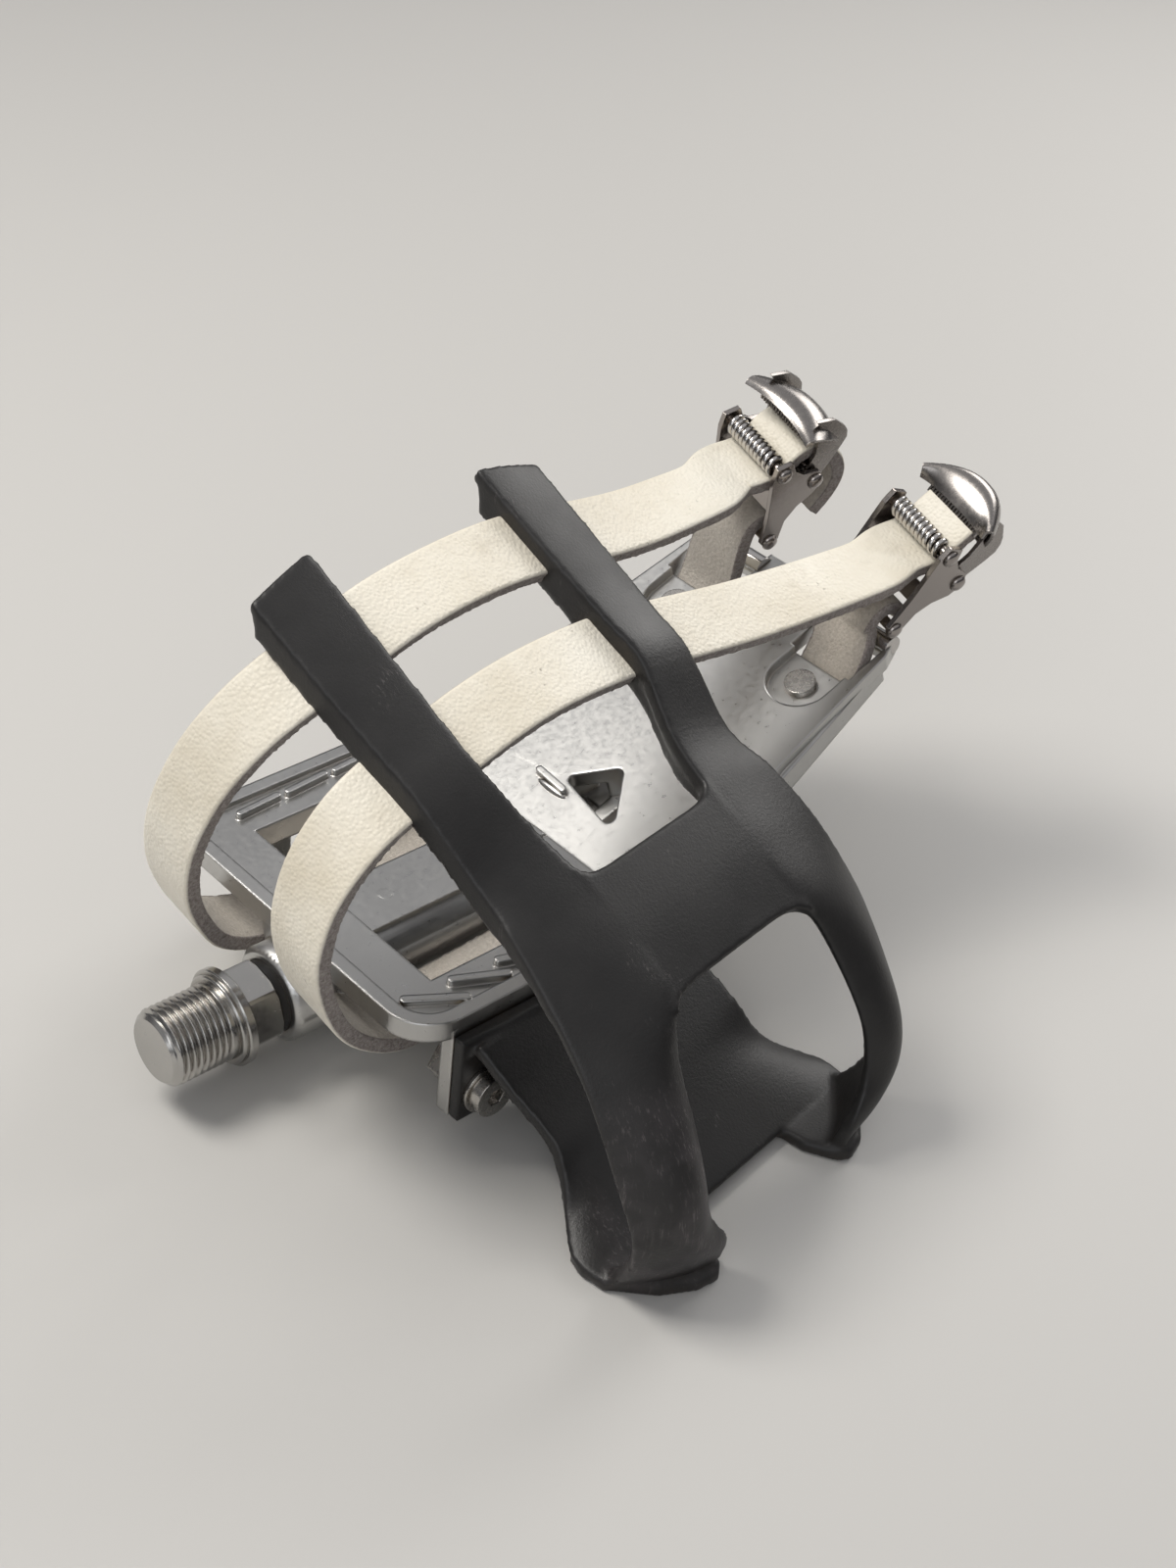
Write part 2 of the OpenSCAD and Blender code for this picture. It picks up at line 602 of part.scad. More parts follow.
module lever_pin(b, lean) {
    in_buckle(b, lean) translate([pivot_q, 0, -pivot_p]) headed_pin(17.8);
}

module lever_pin_front() {
    lever_pin(buckle_f, lean_front);
}

module lever_pin_rear() {
    lever_pin(buckle_r, lean_rear);
}

module roller_pin_front() {
    in_buckle(buckle_f, lean_front) headed_pin(17.8);
}

module roller_pin_rear() {
    in_buckle(buckle_r, lean_rear) headed_pin(17.8);
}

// Round wire swept along a path of points
module wire(path, r, k) {
    n = len(path);
    pts = [for (i = [0:n - 1]) let (
        d = unit(path[min(i + 1, n - 1)] - path[max(i - 1, 0)]),
        s = unit(cross(d, [0, 1, 0])),
        o = cross(s, d))
        for (j = [0:k - 1]) path[i] + r * (cos(360 * j / k) * s + sin(360 * j / k) * o)];
    sides = [for (i = [0:n - 2]) for (j = [0:k - 1]) let (
        a = i * k + j, b = i * k + (j + 1) % k)
        each [[a, b + k, b], [a, a + k, b + k]]];
    ends = [for (j = [1:k - 2]) each [[0, j, j + 1],
        [(n - 1) * k, (n - 1) * k + j + 1, (n - 1) * k + j]]];
    polyhedron(points = pts, faces = [for (f = concat(sides, ends)) [f[0], f[2], f[1]]]);
}

// Torsion spring: nine close turns, an open one and a last close one
coil_pts = 14;
coil_turns = [for (i = [0:11 * coil_pts]) let (t = i / coil_pts)
    [(1.05 + wire_d / 2) * cos(360 * t),
    6.9 - 1.06 * wire_d * t - ((t > 9) ? 0.5 * min(t - 9, 1) : 0),
    (1.05 + wire_d / 2) * sin(360 * t)]];

module coil() {
    color(steel) wire(coil_turns, wire_d / 2, 6);
}

module spring_front() {
    in_buckle(buckle_f, lean_front) coil();
}

module spring_rear() {
    in_buckle(buckle_r, lean_rear) coil();
}

module strap_bar(b, lean) {
    in_buckle(b, lean) translate([1, 0, -frame_len]) headed_pin(17.8);
}

module strap_bar_front() {
    strap_bar(buckle_f, lean_front);
}

module strap_bar_rear() {
    strap_bar(buckle_r, lean_rear);
}

body();
spindle();
bearing_cup_in();
bearing_cup_out();
balls_in();
balls_out();
seal_in();
cone_out();
lock_washer();
locknut();
dust_cap();
slot_bar_front();
slot_bar_rear();
slot_screws();
slot_nuts();
toe_clip();
clip_bolts();
clip_nuts();
clip_washers();
strap_front();
strap_rear();
frame_front();
frame_rear();
lever_front();
lever_rear();
lever_pin_front();
lever_pin_rear();
roller_pin_front();
roller_pin_rear();
spring_front();
spring_rear();
strap_bar_front();
strap_bar_rear();
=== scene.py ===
import json
import math

import bmesh
import bpy
import numpy as np
from mathutils import Matrix, Vector


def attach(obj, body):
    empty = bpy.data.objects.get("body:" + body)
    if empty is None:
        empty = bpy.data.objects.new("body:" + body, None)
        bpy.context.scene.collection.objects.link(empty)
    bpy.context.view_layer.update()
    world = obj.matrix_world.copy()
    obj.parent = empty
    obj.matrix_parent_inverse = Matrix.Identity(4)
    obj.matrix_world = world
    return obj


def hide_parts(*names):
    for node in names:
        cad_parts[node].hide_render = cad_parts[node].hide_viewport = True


# Looks of a left platform pedal with toe clip, leather straps and cam buckles.
# Units are metres, in the same frame as the CAD part: +X away from the crank,
# -Y toward the toe, +Z up, origin on the spindle axis at the crank shoulder.

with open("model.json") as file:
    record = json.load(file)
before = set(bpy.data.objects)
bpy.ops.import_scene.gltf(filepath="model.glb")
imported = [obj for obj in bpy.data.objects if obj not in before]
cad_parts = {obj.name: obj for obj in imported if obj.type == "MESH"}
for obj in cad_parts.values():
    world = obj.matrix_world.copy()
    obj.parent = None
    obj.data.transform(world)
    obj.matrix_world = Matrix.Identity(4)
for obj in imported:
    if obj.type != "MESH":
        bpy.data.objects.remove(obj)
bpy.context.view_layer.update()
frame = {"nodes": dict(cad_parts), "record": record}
nodes = frame["nodes"]
MM = 0.001


# Materials


def new_material(name):
    """A material, its node tree and the shader that the other helpers feed."""
    m = bpy.data.materials.new(name)
    m.use_nodes = True
    t = m.node_tree
    return m, t, t.nodes["Principled BSDF"]


def add(t, kind, **settings):
    """A new node with its settings filled in."""
    n = t.nodes.new(kind)
    for key, value in settings.items():
        setattr(n, key, value)
    return n


def link(t, a, b):
    t.links.new(a, b)


def coords(t, scale=(1, 1, 1)):
    """Places in the part's frame, stretched if asked."""
    tc = add(t, "ShaderNodeTexCoord")
    mp = add(t, "ShaderNodeMapping")
    mp.inputs["Scale"].default_value = scale
    link(t, tc.outputs["Object"], mp.inputs["Vector"])
    return mp.outputs["Vector"]


def noise(t, vector, scale, detail, rough):
    """Cloudy noise between 0 and 1."""
    n = add(t, "ShaderNodeTexNoise")
    n.inputs["Scale"].default_value = scale
    n.inputs["Detail"].default_value = detail
    n.inputs["Roughness"].default_value = rough
    link(t, vector, n.inputs["Vector"])
    return n.outputs["Fac"]


def ramp(t, fac, stops):
    """Colours that run through the stops, each one a place from 0 to 1 and its colour."""
    n = add(t, "ShaderNodeValToRGB")
    e = n.color_ramp.elements
    while len(e) < len(stops):
        e.new(0.5)
    for i, (pos, col) in enumerate(stops):
        e[i].position = pos
        e[i].color = (*col, 1)
    link(t, fac, n.inputs["Fac"])
    return n.outputs["Color"]


def spread(t, fac, lo, hi, out_lo, out_hi):
    """A value carried from one range to another."""
    n = add(t, "ShaderNodeMapRange")
    n.inputs["From Min"].default_value = lo
    n.inputs["From Max"].default_value = hi
    n.inputs["To Min"].default_value = out_lo
    n.inputs["To Max"].default_value = out_hi
    link(t, fac, n.inputs["Value"])
    return n.outputs["Result"]


def mix(t, fac, a, b):
    """Colour a where fac is 0 and colour b where it is 1."""
    n = add(t, "ShaderNodeMix", data_type="RGBA")
    link(t, fac, n.inputs["Factor"])
    for key, v in (("A", a), ("B", b)):
        sock = [s for s in n.inputs if s.name == key and s.type == "RGBA"][0]
        if isinstance(v, tuple):
            sock.default_value = (*v, 1)
        else:
            link(t, v, sock)
    return [s for s in n.outputs if s.type == "RGBA"][0]


def bump(t, b, height, strength, distance, normal=None):
    """Relief on the shader's normals, on top of other relief if that is given."""
    n = add(t, "ShaderNodeBump")
    n.inputs["Strength"].default_value = strength
    n.inputs["Distance"].default_value = distance
    link(t, height, n.inputs["Height"])
    if normal is not None:
        link(t, normal, n.inputs["Normal"])
    link(t, n.outputs["Normal"], b.inputs["Normal"])
    return n.outputs["Normal"]


def rounded(t, radius):
    """Normals that make sharp edges look rounded."""
    n = add(t, "ShaderNodeBevel")
    n.samples = 8
    n.inputs["Radius"].default_value = radius
    return n.outputs["Normal"]


def combine(t, operation, a, b):
    """A math node on two values, each one a number or a socket."""
    n = add(t, "ShaderNodeMath", operation=operation)
    for sock, v in zip(n.inputs, (a, b)):
        if isinstance(v, (int, float)):
            sock.default_value = v
        else:
            link(t, v, sock)
    return n.outputs[0]


def times(t, a, b):
    return combine(t, "MULTIPLY", a, b)


def greater(t, a, b):
    return combine(t, "MAXIMUM", a, b)


def crevice(t, reach, lo, hi):
    """1 in troughs and corners, 0 on open faces."""
    n = add(t, "ShaderNodeAmbientOcclusion")
    n.samples = 12
    n.inputs["Distance"].default_value = reach
    return spread(t, n.outputs["AO"], lo, hi, 1, 0)


def near(t, place, reach):
    """1 at a place in the part's frame, falling to 0 at the given distance."""
    tc = add(t, "ShaderNodeTexCoord")
    n = add(t, "ShaderNodeVectorMath", operation="DISTANCE")
    link(t, tc.outputs["Object"], n.inputs[0])
    n.inputs[1].default_value = place
    return spread(t, n.outputs["Value"], reach * 0.45, reach, 1, 0)


def metal(name, base, rough, shade_and_grime, edge, cast=0.05, shade_and_soot=(0.10, 0.065, 0.035),
          specks=0.5, reach=0.0022):
    """Worn metal with dark specks, and painted shade with brown grime in its corners.

    shade_and_grime and shade_and_soot are the strength and colour of that corner darkening, painted
    shade with grime in it, reach is how far it spreads from a corner, edge is the radius that the
    edges seem to have and cast is how wavy the skin is.
    """
    m, t, b = new_material(name)
    v = coords(t)
    b.inputs["Metallic"].default_value = 1.0
    cloud = noise(t, v, 45, 3, 0.5)
    fine = noise(t, v, 900, 3, 0.6)
    dirt = noise(t, v, 230, 6, 0.7)
    tint = mix(t, spread(t, cloud, 0.35, 0.65, 0, 1), base, tuple(c * 0.88 for c in base))
    spots = spread(t, dirt, 0.66, 0.80, 0, specks)
    tint = mix(t, spots, tint, tuple(c * 0.45 for c in base))
    # Painted shade with grime: the occlusion node darkens the colour in corners and troughs, where
    # shade falls, and the dirt noise makes it patchy and brown.
    shade_and_grime_mask = times(t, crevice(t, reach, 0.3, 0.8), spread(t, dirt, 0.35, 0.6, 0.25, shade_and_grime))
    link(t, mix(t, shade_and_grime_mask, tint, shade_and_soot), b.inputs["Base Color"])
    sheen = spread(t, fine, 0.3, 0.7, rough * 0.85, rough * 1.25)
    link(t, greater(t, sheen, times(t, shade_and_grime_mask, 0.75)), b.inputs["Roughness"])
    bump(t, b, noise(t, v, 420, 3, 0.5), cast, 0.0002, rounded(t, edge))
    return m


cast_alloy = metal("cast_alloy", base=(0.56, 0.555, 0.54), rough=0.32, shade_and_grime=0.55, edge=0.0007,
                   cast=0.012, shade_and_soot=(0.20, 0.14, 0.075), specks=0.08, reach=0.0012)
bare_steel = metal("bare_steel", base=(0.50, 0.48, 0.45), rough=0.26, shade_and_grime=0.8, edge=0.0003)
thread_steel = metal("thread_steel", base=(0.48, 0.47, 0.45), rough=0.22, shade_and_grime=0.9,
                     edge=0.00012, cast=0.03, specks=0.15)
chrome = metal("chrome", base=(0.60, 0.58, 0.56), rough=0.16, shade_and_grime=0.5, edge=0.0002,
               specks=0.3)
buckle_steel = metal("buckle_steel", base=(0.36, 0.33, 0.31), rough=0.2, shade_and_grime=0.8, edge=0.0002)
thumb_steel = metal("thumb_steel", base=(0.31, 0.29, 0.275), rough=0.25, shade_and_grime=0.35,
                    edge=0.00015, cast=0.03, specks=0.1)

# The clip is worn most at the foot of its front leg
WORN_AT = (0.027, -0.085, 0.006)
WORN_REACH = 0.026


def plastic(name, base, rough, grain, scuffs, edge=0.0004):
    """Moulded plastic with dust in its corners and scratches that crowd round the worn place."""
    m, t, b = new_material(name)
    v = coords(t)
    big = noise(t, v, 35, 4, 0.6)
    tint = mix(t, spread(t, big, 0.35, 0.65, 0, 1), base, tuple(c * 1.5 + 0.003 for c in base))
    cloud = spread(t, noise(t, v, 160, 6, 0.7), 0.4, 0.7, 0, 0.5)
    dust = times(t, crevice(t, 0.006, 0.3, 0.9), cloud)
    tint = mix(t, dust, tint, (0.075, 0.055, 0.038))
    scratch = spread(t, noise(t, coords(t, (2.2, 1.0, 0.16)), 900, 5, 0.75), 0.55, 0.68, 0, 1)
    place = noise(t, v, 90, 3, 0.6)
    worn = times(t, near(t, WORN_AT, WORN_REACH), spread(t, place, 0.42, 0.62, 0.1, 1))
    loose = spread(t, place, 0.60, 0.70, 0, 0.35)
    amount = times(t, times(t, scratch, greater(t, worn, loose)), scuffs)
    tint = mix(t, times(t, worn, scuffs * 0.75), tint, (0.062, 0.054, 0.057))
    link(t, mix(t, amount, tint, (0.22, 0.195, 0.19)), b.inputs["Base Color"])
    link(t, spread(t, big, 0.3, 0.7, rough * 0.85, rough * 1.2), b.inputs["Roughness"])
    b.inputs["Specular IOR Level"].default_value = 0.42
    skin = noise(t, v, 1900, 3, 0.6)
    first = bump(t, b, skin, grain, 0.00016, rounded(t, edge))
    bump(t, b, times(t, amount, -1.0), 0.5, 0.0001, first)
    return m


nylon = plastic("nylon", base=(0.0105, 0.0098, 0.0095), rough=0.42, grain=0.32, scuffs=0.9,
                edge=0.0007)
seal_rubber = plastic("seal_rubber", base=(0.010, 0.010, 0.010), rough=0.55, grain=0.3,
                      scuffs=0.1)


def leather_material():
    """Cream leather with a pebbled face and bare fibres where the rim attribute is high."""
    m, t, b = new_material("leather")
    v = coords(t)
    tone = noise(t, v, 28, 5, 0.6)
    face = ramp(t, tone, [(0.32, (0.66, 0.60, 0.48)), (0.5, (0.76, 0.71, 0.60)),
                          (0.68, (0.82, 0.78, 0.68))])
    speck = times(t, spread(t, noise(t, v, 520, 3, 0.7), 0.66, 0.74, 0, 0.8),
                  spread(t, noise(t, v, 60, 3, 0.6), 0.45, 0.65, 0.1, 1))
    face = mix(t, speck, face, (0.20, 0.17, 0.13))
    stain = spread(t, noise(t, v, 75, 6, 0.7), 0.58, 0.76, 0, 0.45)
    face = mix(t, stain, face, (0.42, 0.36, 0.27))
    rim = add(t, "ShaderNodeAttribute", attribute_name="rim")
    fibre = noise(t, v, 1500, 6, 0.75)
    cut = ramp(t, fibre, [(0.3, (0.15, 0.125, 0.11)), (0.5, (0.31, 0.27, 0.25)),
                          (0.72, (0.50, 0.46, 0.42))])
    edge = spread(t, rim.outputs["Fac"], 0.3, 0.62, 0, 1)
    link(t, mix(t, edge, face, cut), b.inputs["Base Color"])
    link(t, spread(t, edge, 0, 1, 0.5, 0.95), b.inputs["Roughness"])
    b.inputs["Sheen Weight"].default_value = 0.12
    cells = add(t, "ShaderNodeTexVoronoi", feature="SMOOTH_F1")
    cells.inputs["Scale"].default_value = 1450
    cells.inputs["Smoothness"].default_value = 0.35
    bend = noise(t, v, 500, 3, 0.6)
    shift = add(t, "ShaderNodeVectorMath", operation="MULTIPLY_ADD")
    link(t, bend, shift.inputs[0])
    shift.inputs[1].default_value = (0.0004, 0.0004, 0.0004)
    link(t, v, shift.inputs[2])
    link(t, shift.outputs[0], cells.inputs["Vector"])
    grain = spread(t, cells.outputs["Distance"], 0.1, 0.75, 1, 0)
    first = bump(t, b, grain, 0.42, 0.0002)
    bump(t, b, times(t, fibre, edge), 0.9, 0.0004, first)
    return m


leather = leather_material()


# Mesh helpers


def mesh_object(name, verts, faces, material, smooth=True, sharp=None):
    me = bpy.data.meshes.new(name)
    me.from_pydata([tuple(v) for v in verts], [], faces)
    me.update()
    me.materials.append(material)
    for p in me.polygons:
        p.use_smooth = smooth
    if sharp is not None:
        me.set_sharp_from_angle(angle=math.radians(sharp))
    o = bpy.data.objects.new(name, me)
    bpy.context.scene.collection.objects.link(o)
    return o


def put(o, body, *cad, slot):
    """Hang a piece on the body that it rides on and hide the CAD nodes that it replaces; slot is
    not used.
    """
    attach(o, body)
    if cad:
        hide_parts(*cad)


# Facets that meet at less than these angles, in degrees, are shaded as one surface
CAD_SHARP = 18
CUT_SHARP = 14


def dressed(node, name, material):
    """A copy of a CAD node whose facets are shaded as the smooth surfaces that they stand for."""
    me = nodes[node].data.copy()
    me.name = name
    o = bpy.data.objects.new(name, me)
    o.matrix_world = nodes[node].matrix_world.copy()
    bpy.context.scene.collection.objects.link(o)
    bm = bmesh.new()
    bm.from_mesh(me)
    bmesh.ops.remove_doubles(bm, verts=bm.verts, dist=2e-6)
    bm.to_mesh(me)
    bm.free()
    for p in me.polygons:
        p.use_smooth = True
    me.set_sharp_from_angle(angle=math.radians(CAD_SHARP))
    me.materials.clear()
    me.materials.append(material)
    return o


def face_outward(o):
    """Turn every face of a closed mesh outward."""
    bm = bmesh.new()
    bm.from_mesh(o.data)
    bmesh.ops.recalc_face_normals(bm, faces=bm.faces)
    bm.to_mesh(o.data)
    bm.free()


def apply_modifiers(o):
    """Give an object the mesh that its modifiers make."""
    out = bpy.data.meshes.new_from_object(o.evaluated_get(bpy.context.evaluated_depsgraph_get()))
    o.modifiers.clear()
    o.data = out
    for p in out.polygons:
        p.use_smooth = True


def boolean(o, operation, verts, faces):
    """Join a closed tool shape to a copy, or cut it away."""
    tool = mesh_object("tool", verts, faces, o.data.materials[0], smooth=False)
    m = o.modifiers.new("tool", "BOOLEAN")
    m.operation = operation
    m.solver = "EXACT"
    m.object = tool
    apply_modifiers(o)
    bpy.data.objects.remove(tool)
    o.data.set_sharp_from_angle(angle=math.radians(CUT_SHARP))


def grid_faces(rows, cols, around=False):
    """Four-cornered faces between rows of points, closed round the columns if asked."""
    out = []
    for i in range(rows - 1):
        for j in range(cols if around else cols - 1):
            k = (j + 1) % cols
            out.append((i * cols + j, (i + 1) * cols + j, (i + 1) * cols + k, i * cols + k))
    return out


def capped_faces(rows, cols):
    """Faces of a closed bar whose sections are the rows."""
    last = (rows - 1) * cols
    caps = [tuple(range(cols)), tuple(last + j for j in reversed(range(cols)))]
    return grid_faces(rows, cols, around=True) + caps


def sheet_faces(rows, cols):
    """Faces of a closed sheet: its upper grid, the lower one that follows it and the rim."""
    upper = grid_faces(rows, cols)
    k = rows * cols
    edge = list(range(cols)) + [i * cols + cols - 1 for i in range(1, rows)]
    edge += [(rows - 1) * cols + j for j in range(cols - 2, -1, -1)]
    edge += [i * cols for i in range(rows - 2, 0, -1)]
    rim = [(a, a + k, b + k, b) for a, b in zip(edge, edge[1:] + edge[:1])]
    return upper + [tuple(q + k for q in reversed(g)) for g in upper] + rim


def prism_faces(n):
    """Faces of a prism whose n far corners follow its n near ones."""
    sides = [(i, i + n, (i + 1) % n + n, (i + 1) % n) for i in range(n)]
    return [tuple(range(n)), tuple(reversed(range(n, 2 * n))), *sides]


# Buckle frames, as in the CAD part: q runs forward from the roller and p stands up, in mm

TILT = 13
YAW = 6
LEAN = {"front": 62, "rear": 95}
ROLLER = {"front": (143.3, -20.9, 61), "rear": (128, 8.6, 69)}
FRAME_LEN = 17.5
PIVOT = (8.5, 0, -4.5)
BAR_AT = (1, 0, -FRAME_LEN)
CAM_R = 4
ROLL_R = 4


def turn(axis, deg):
    return np.array(Matrix.Rotation(math.radians(deg), 3, axis))


SIDE = turn("Z", -YAW) @ turn("X", TILT)


def from_buckle(b, v):
    """Place an offset from b that is given across and along the tilted strap, in mm."""
    return np.array(b) + SIDE @ np.array(v, float)


def in_buckle(which, v):
    """Place a point given in the leaning buckle frame, in mm."""
    return from_buckle(ROLLER[which], turn("Y", 90 - LEAN[which]) @ np.array(v, float))


def wrap(b, r, a, out=0):
    """Strap station at radius r round b, at angle a from straight below, then out along it."""
    s, c = math.sin(math.radians(a)), math.cos(math.radians(a))
    return [*from_buckle(b, (r * s + out * c, 0, out * s - r * c)), TILT, YAW]


def curve(points, k):
    """Smooth curve through points, with k steps from each one to the next."""
    p = [np.array(q, float) for q in points]
    n = len(p)
    out = []
    for i in range(n - 1):
        a, b, c, d = p[max(i - 1, 0)], p[i], p[i + 1], p[min(i + 2, n - 1)]
        for j in range(k):
            t = j / k
            out.append(0.5 * (2 * b + (c - a) * t + (2 * a - 5 * b + 4 * c - d) * t * t
                              + (3 * b - a - 3 * c + d) * t ** 3))
    out.append(p[-1])
    return np.array(out)


# Leather straps: stations are x, y, z of the middle, then side tilt and turn in degrees

BAR_WRAP_R = 3


def round_bar(which):
    """Stations of the fixed end, round its bar and just past it."""
    bar = in_buckle(which, BAR_AT)
    past = wrap(bar, BAR_WRAP_R, 270, 3.5)
    return [wrap(bar, BAR_WRAP_R, a) for a in range(120, 271, 30)] + [past]


def round_roller(which, before, angles):
    """Stations at the distances before the roller, then at the angles round it."""
    roller = ROLLER[which]
    start = [wrap(roller, ROLL_R, angles[0], -d) for d in before]
    return start + [wrap(roller, ROLL_R, a) for a in angles]


front_route = round_bar("front") + [
    [131.5, -17, 37.5, 4, 1], [129.6, -17, 33.5, 3, 0], [123, -17, 23, 2, 0],
    [111, -17, 14, 1, 0], [94, -17, 7, 0, 0], [72, -17, 2, 0, 0], [48, -17, 0, 0, 0],
    [30, -17.2, -0.5, 3, 0], [21, -17.6, 1, 6, 0], [13, -18.4, 6.5, 8, 0],
    [7, -19.6, 14, 10, 0], [2.5, -21, 24, 12, 0], [0.5, -22.2, 34, 15, 0],
    [2.2, -23.4, 44.5, 19, 0], [7, -24.4, 52.4, 24, 0], [12.5, -24.8, 56.8, 27, 0],
    [19.9, -24.6, 59.4, 29, 0], [33, -22.8, 62, 25, 0], [46, -20.9, 62.8, 22, 0],
    [60, -19, 61.8, 25, 0], [73.4, -17.1, 59.4, 28, 0], [86, -17, 57.6, 26, 1],
    [99, -17.4, 56, 23, 2], [112, -18.2, 55.4, 19, 4], [124, -19.2, 55.4, 15, 5],
    [132, -20, 55.8, 13, 6]]
front_route += round_roller("front", (6, 2.5), (6, 24, 42))
front_route += [wrap(ROLLER["front"], ROLL_R, 42, d) for d in (3, 6.5)]
rear_route = round_bar("rear")
rear_route += [
    [129.6, 16.4, 38, 4, 1], [128.6, 17, 32.5, 3, 0], [123, 17, 23, 2, 0],
    [111, 17, 14, 1, 0], [94, 17, 7, 0, 0], [72, 17.2, 2, 0, 0], [48, 17.5, 0, 0, 0],
    [30, 17.8, -0.5, 2, 0], [19, 18, 0.5, 4, 0], [10, 17, 5.5, 7, 0], [4, 14.6, 14, 10, 0],
    [-1.2, 11, 26, 14, 0], [-3, 6.8, 39, 17, 0], [-0.7, 2.2, 52, 20, 0],
    [4.3, -1.6, 61.4, 24, 0], [10.3, -3.8, 67, 27, 0], [17.1, -4.6, 70.2, 29, 0],
    [31, -2.6, 72.8, 25, 0], [44, -0.8, 73.5, 22, 0], [58, 1.2, 72.6, 25, 0],
    [70.6, 2.9, 70.2, 28, 0], [82, 4.4, 67.6, 25, 1], [94, 5.8, 65.4, 21, 3],
    [106, 7, 64.4, 17, 4], [115, 7.8, 64.2, 14, 5]]
rear_route += round_roller("rear", (7, 3), (5, 30, 56))
rear_route += [wrap(in_buckle("rear", PIVOT), CAM_R + 1.6, a) for a in (232, 205, 178, 154)]
rear_route += [[*from_buckle(ROLLER["rear"], (q, 0, p)), TILT, YAW] for q, p in (
    (13.9, -0.6), (16.8, -3.6), (18.4, -7.6), (17.6, -12), (15.2, -16))]

HALF_W = 6.5
HALF_T = 1.4
EDGE_R = 0.7
EDGE_AT = 6.35
STRAP_STEP = 0.6
FIBRES = 2600


def strap_section():
    """Points across, through the thickness and how much of a cut edge each one is."""
    flat = HALF_W - EDGE_R
    face = [(-flat + 0.2 * flat * j, HALF_T, 0.0) for j in range(11)]
    side = []
    for a in (70, 45, 20):
        c, s = math.cos(math.radians(a)), math.sin(math.radians(a))
        side.append((flat + EDGE_R * c, HALF_T - EDGE_R + EDGE_R * s, 0.05 + (90 - a) / 150))
    side += [(HALF_W, h, 1.0) for h in (0.65, 0.2, -0.3, -0.8, -1.25)]
    side.append((EDGE_AT, -1.55, 1.0))
    back = [(5.9 - 1.967 * j, -HALF_T - 0.2, 0.5) for j in range(7)]
    return face + side + back + [(-a, h, r) for a, h, r in reversed(side)]


def strap_stations(route):
    """The route in even short steps, with its corners eased."""
    st = curve(route, 3)
    fine = []
    for a, b in zip(st[:-1], st[1:]):
        steps = max(1, int(round(np.linalg.norm(b[:3] - a[:3]) / STRAP_STEP)))
        fine += [a + (b - a) * j / steps for j in range(steps)]
    fine.append(st[-1])
    st = np.array(fine)
    for _ in range(3):
        st[1:-1] = 0.25 * st[:-2] + 0.5 * st[1:-1] + 0.25 * st[2:]
    return st


def strap_frames(st):
    """Middle, direction along, direction across and direction off the face of each station."""
    frames = []
    for i, (*p, tilt, yaw) in enumerate(st):
        d = st[min(i + 1, len(st) - 1)][:3] - st[max(i - 1, 0)][:3]
        d /= np.linalg.norm(d)
        w = turn("Z", -yaw) @ np.array([0, math.cos(math.radians(tilt)),
                                        math.sin(math.radians(tilt))])
        s = w - (w @ d) * d
        s /= np.linalg.norm(s)
        frames.append((np.array(p), d, s, np.cross(d, s)))
    return frames


def strap(name, route, seed):
    """Leather strap with a slightly uneven face, rough cut edges and loose fibres on them."""
    rng = np.random.default_rng(seed)
    frames = strap_frames(strap_stations(route))
    sec = strap_section()
    n, m = len(frames), len(sec)
    rough = rng.normal(0, 1, (n, m))
    slow = rng.normal(0, 1, (n, m))
    for _ in range(30):
        slow[1:-1] = (slow[:-2] + slow[1:-1] + slow[2:]) / 3
    slow /= np.abs(slow).max()
    verts, rim = [], []
    for i, (p, _, s, o) in enumerate(frames):
        for j, (a, h, r) in enumerate(sec):
            side = np.sign(a) if abs(a) > 6 else 0
            push = side * (0.07 * rough[i, j] + 0.13 * slow[i, j] - 0.12) * (r > 0.6)
            lift = 0.03 * slow[i, j] * (r < 0.6)
            verts.append((p + s * (a + push) + o * (h + lift)) * MM)
            rim.append(r)
    faces = capped_faces(n, m)
    for _ in range(FIBRES):
        p, d, s, o = frames[rng.integers(1, n - 1)]
        side = rng.choice((-1, 1))
        base = p + s * side * EDGE_AT + o * rng.uniform(-1.35, 0.9)
        out = s * side * rng.uniform(0.3, 1) + d * rng.normal(0, 0.9) + o * rng.normal(-0.1, 0.5)
        out /= np.linalg.norm(out)
        k = len(verts)
        size = rng.uniform(0.15, 0.75) ** 1.3
        for q in (base - d * 0.04, base + d * 0.04, base + out * size):
            verts.append(q * MM)
            rim.append(rng.uniform(0.8, 1))
        faces.append((k, k + 1, k + 2))
    ob = mesh_object(name, verts, faces, leather, sharp=60)
    at = ob.data.attributes.new("rim", "FLOAT", "POINT")
    at.data.foreach_set("value", np.array(rim, dtype=np.float32))
    return ob


put(strap("leather_strap_front", front_route, 3), "cage", "strap_front", slot="leather")
put(strap("leather_strap_rear", rear_route, 5), "cage", "strap_rear", slot="leather")


# Spindle: one turned surface whose radius also follows the thread and the hexagon

THREAD_R = 7.145
THREAD_LEN = 12.7
THREAD_DEPTH = 0.72
THREAD_CHAMFER = 1.3
RUN_OUT = 1.2
PITCH = 1.27
HEX_HALF = 7
HEX_EDGE_R = 7.35
HEX_TURN = 10
HEX_X0 = 2.7
HEX_X1 = 8.9
SPINDLE_END = 93


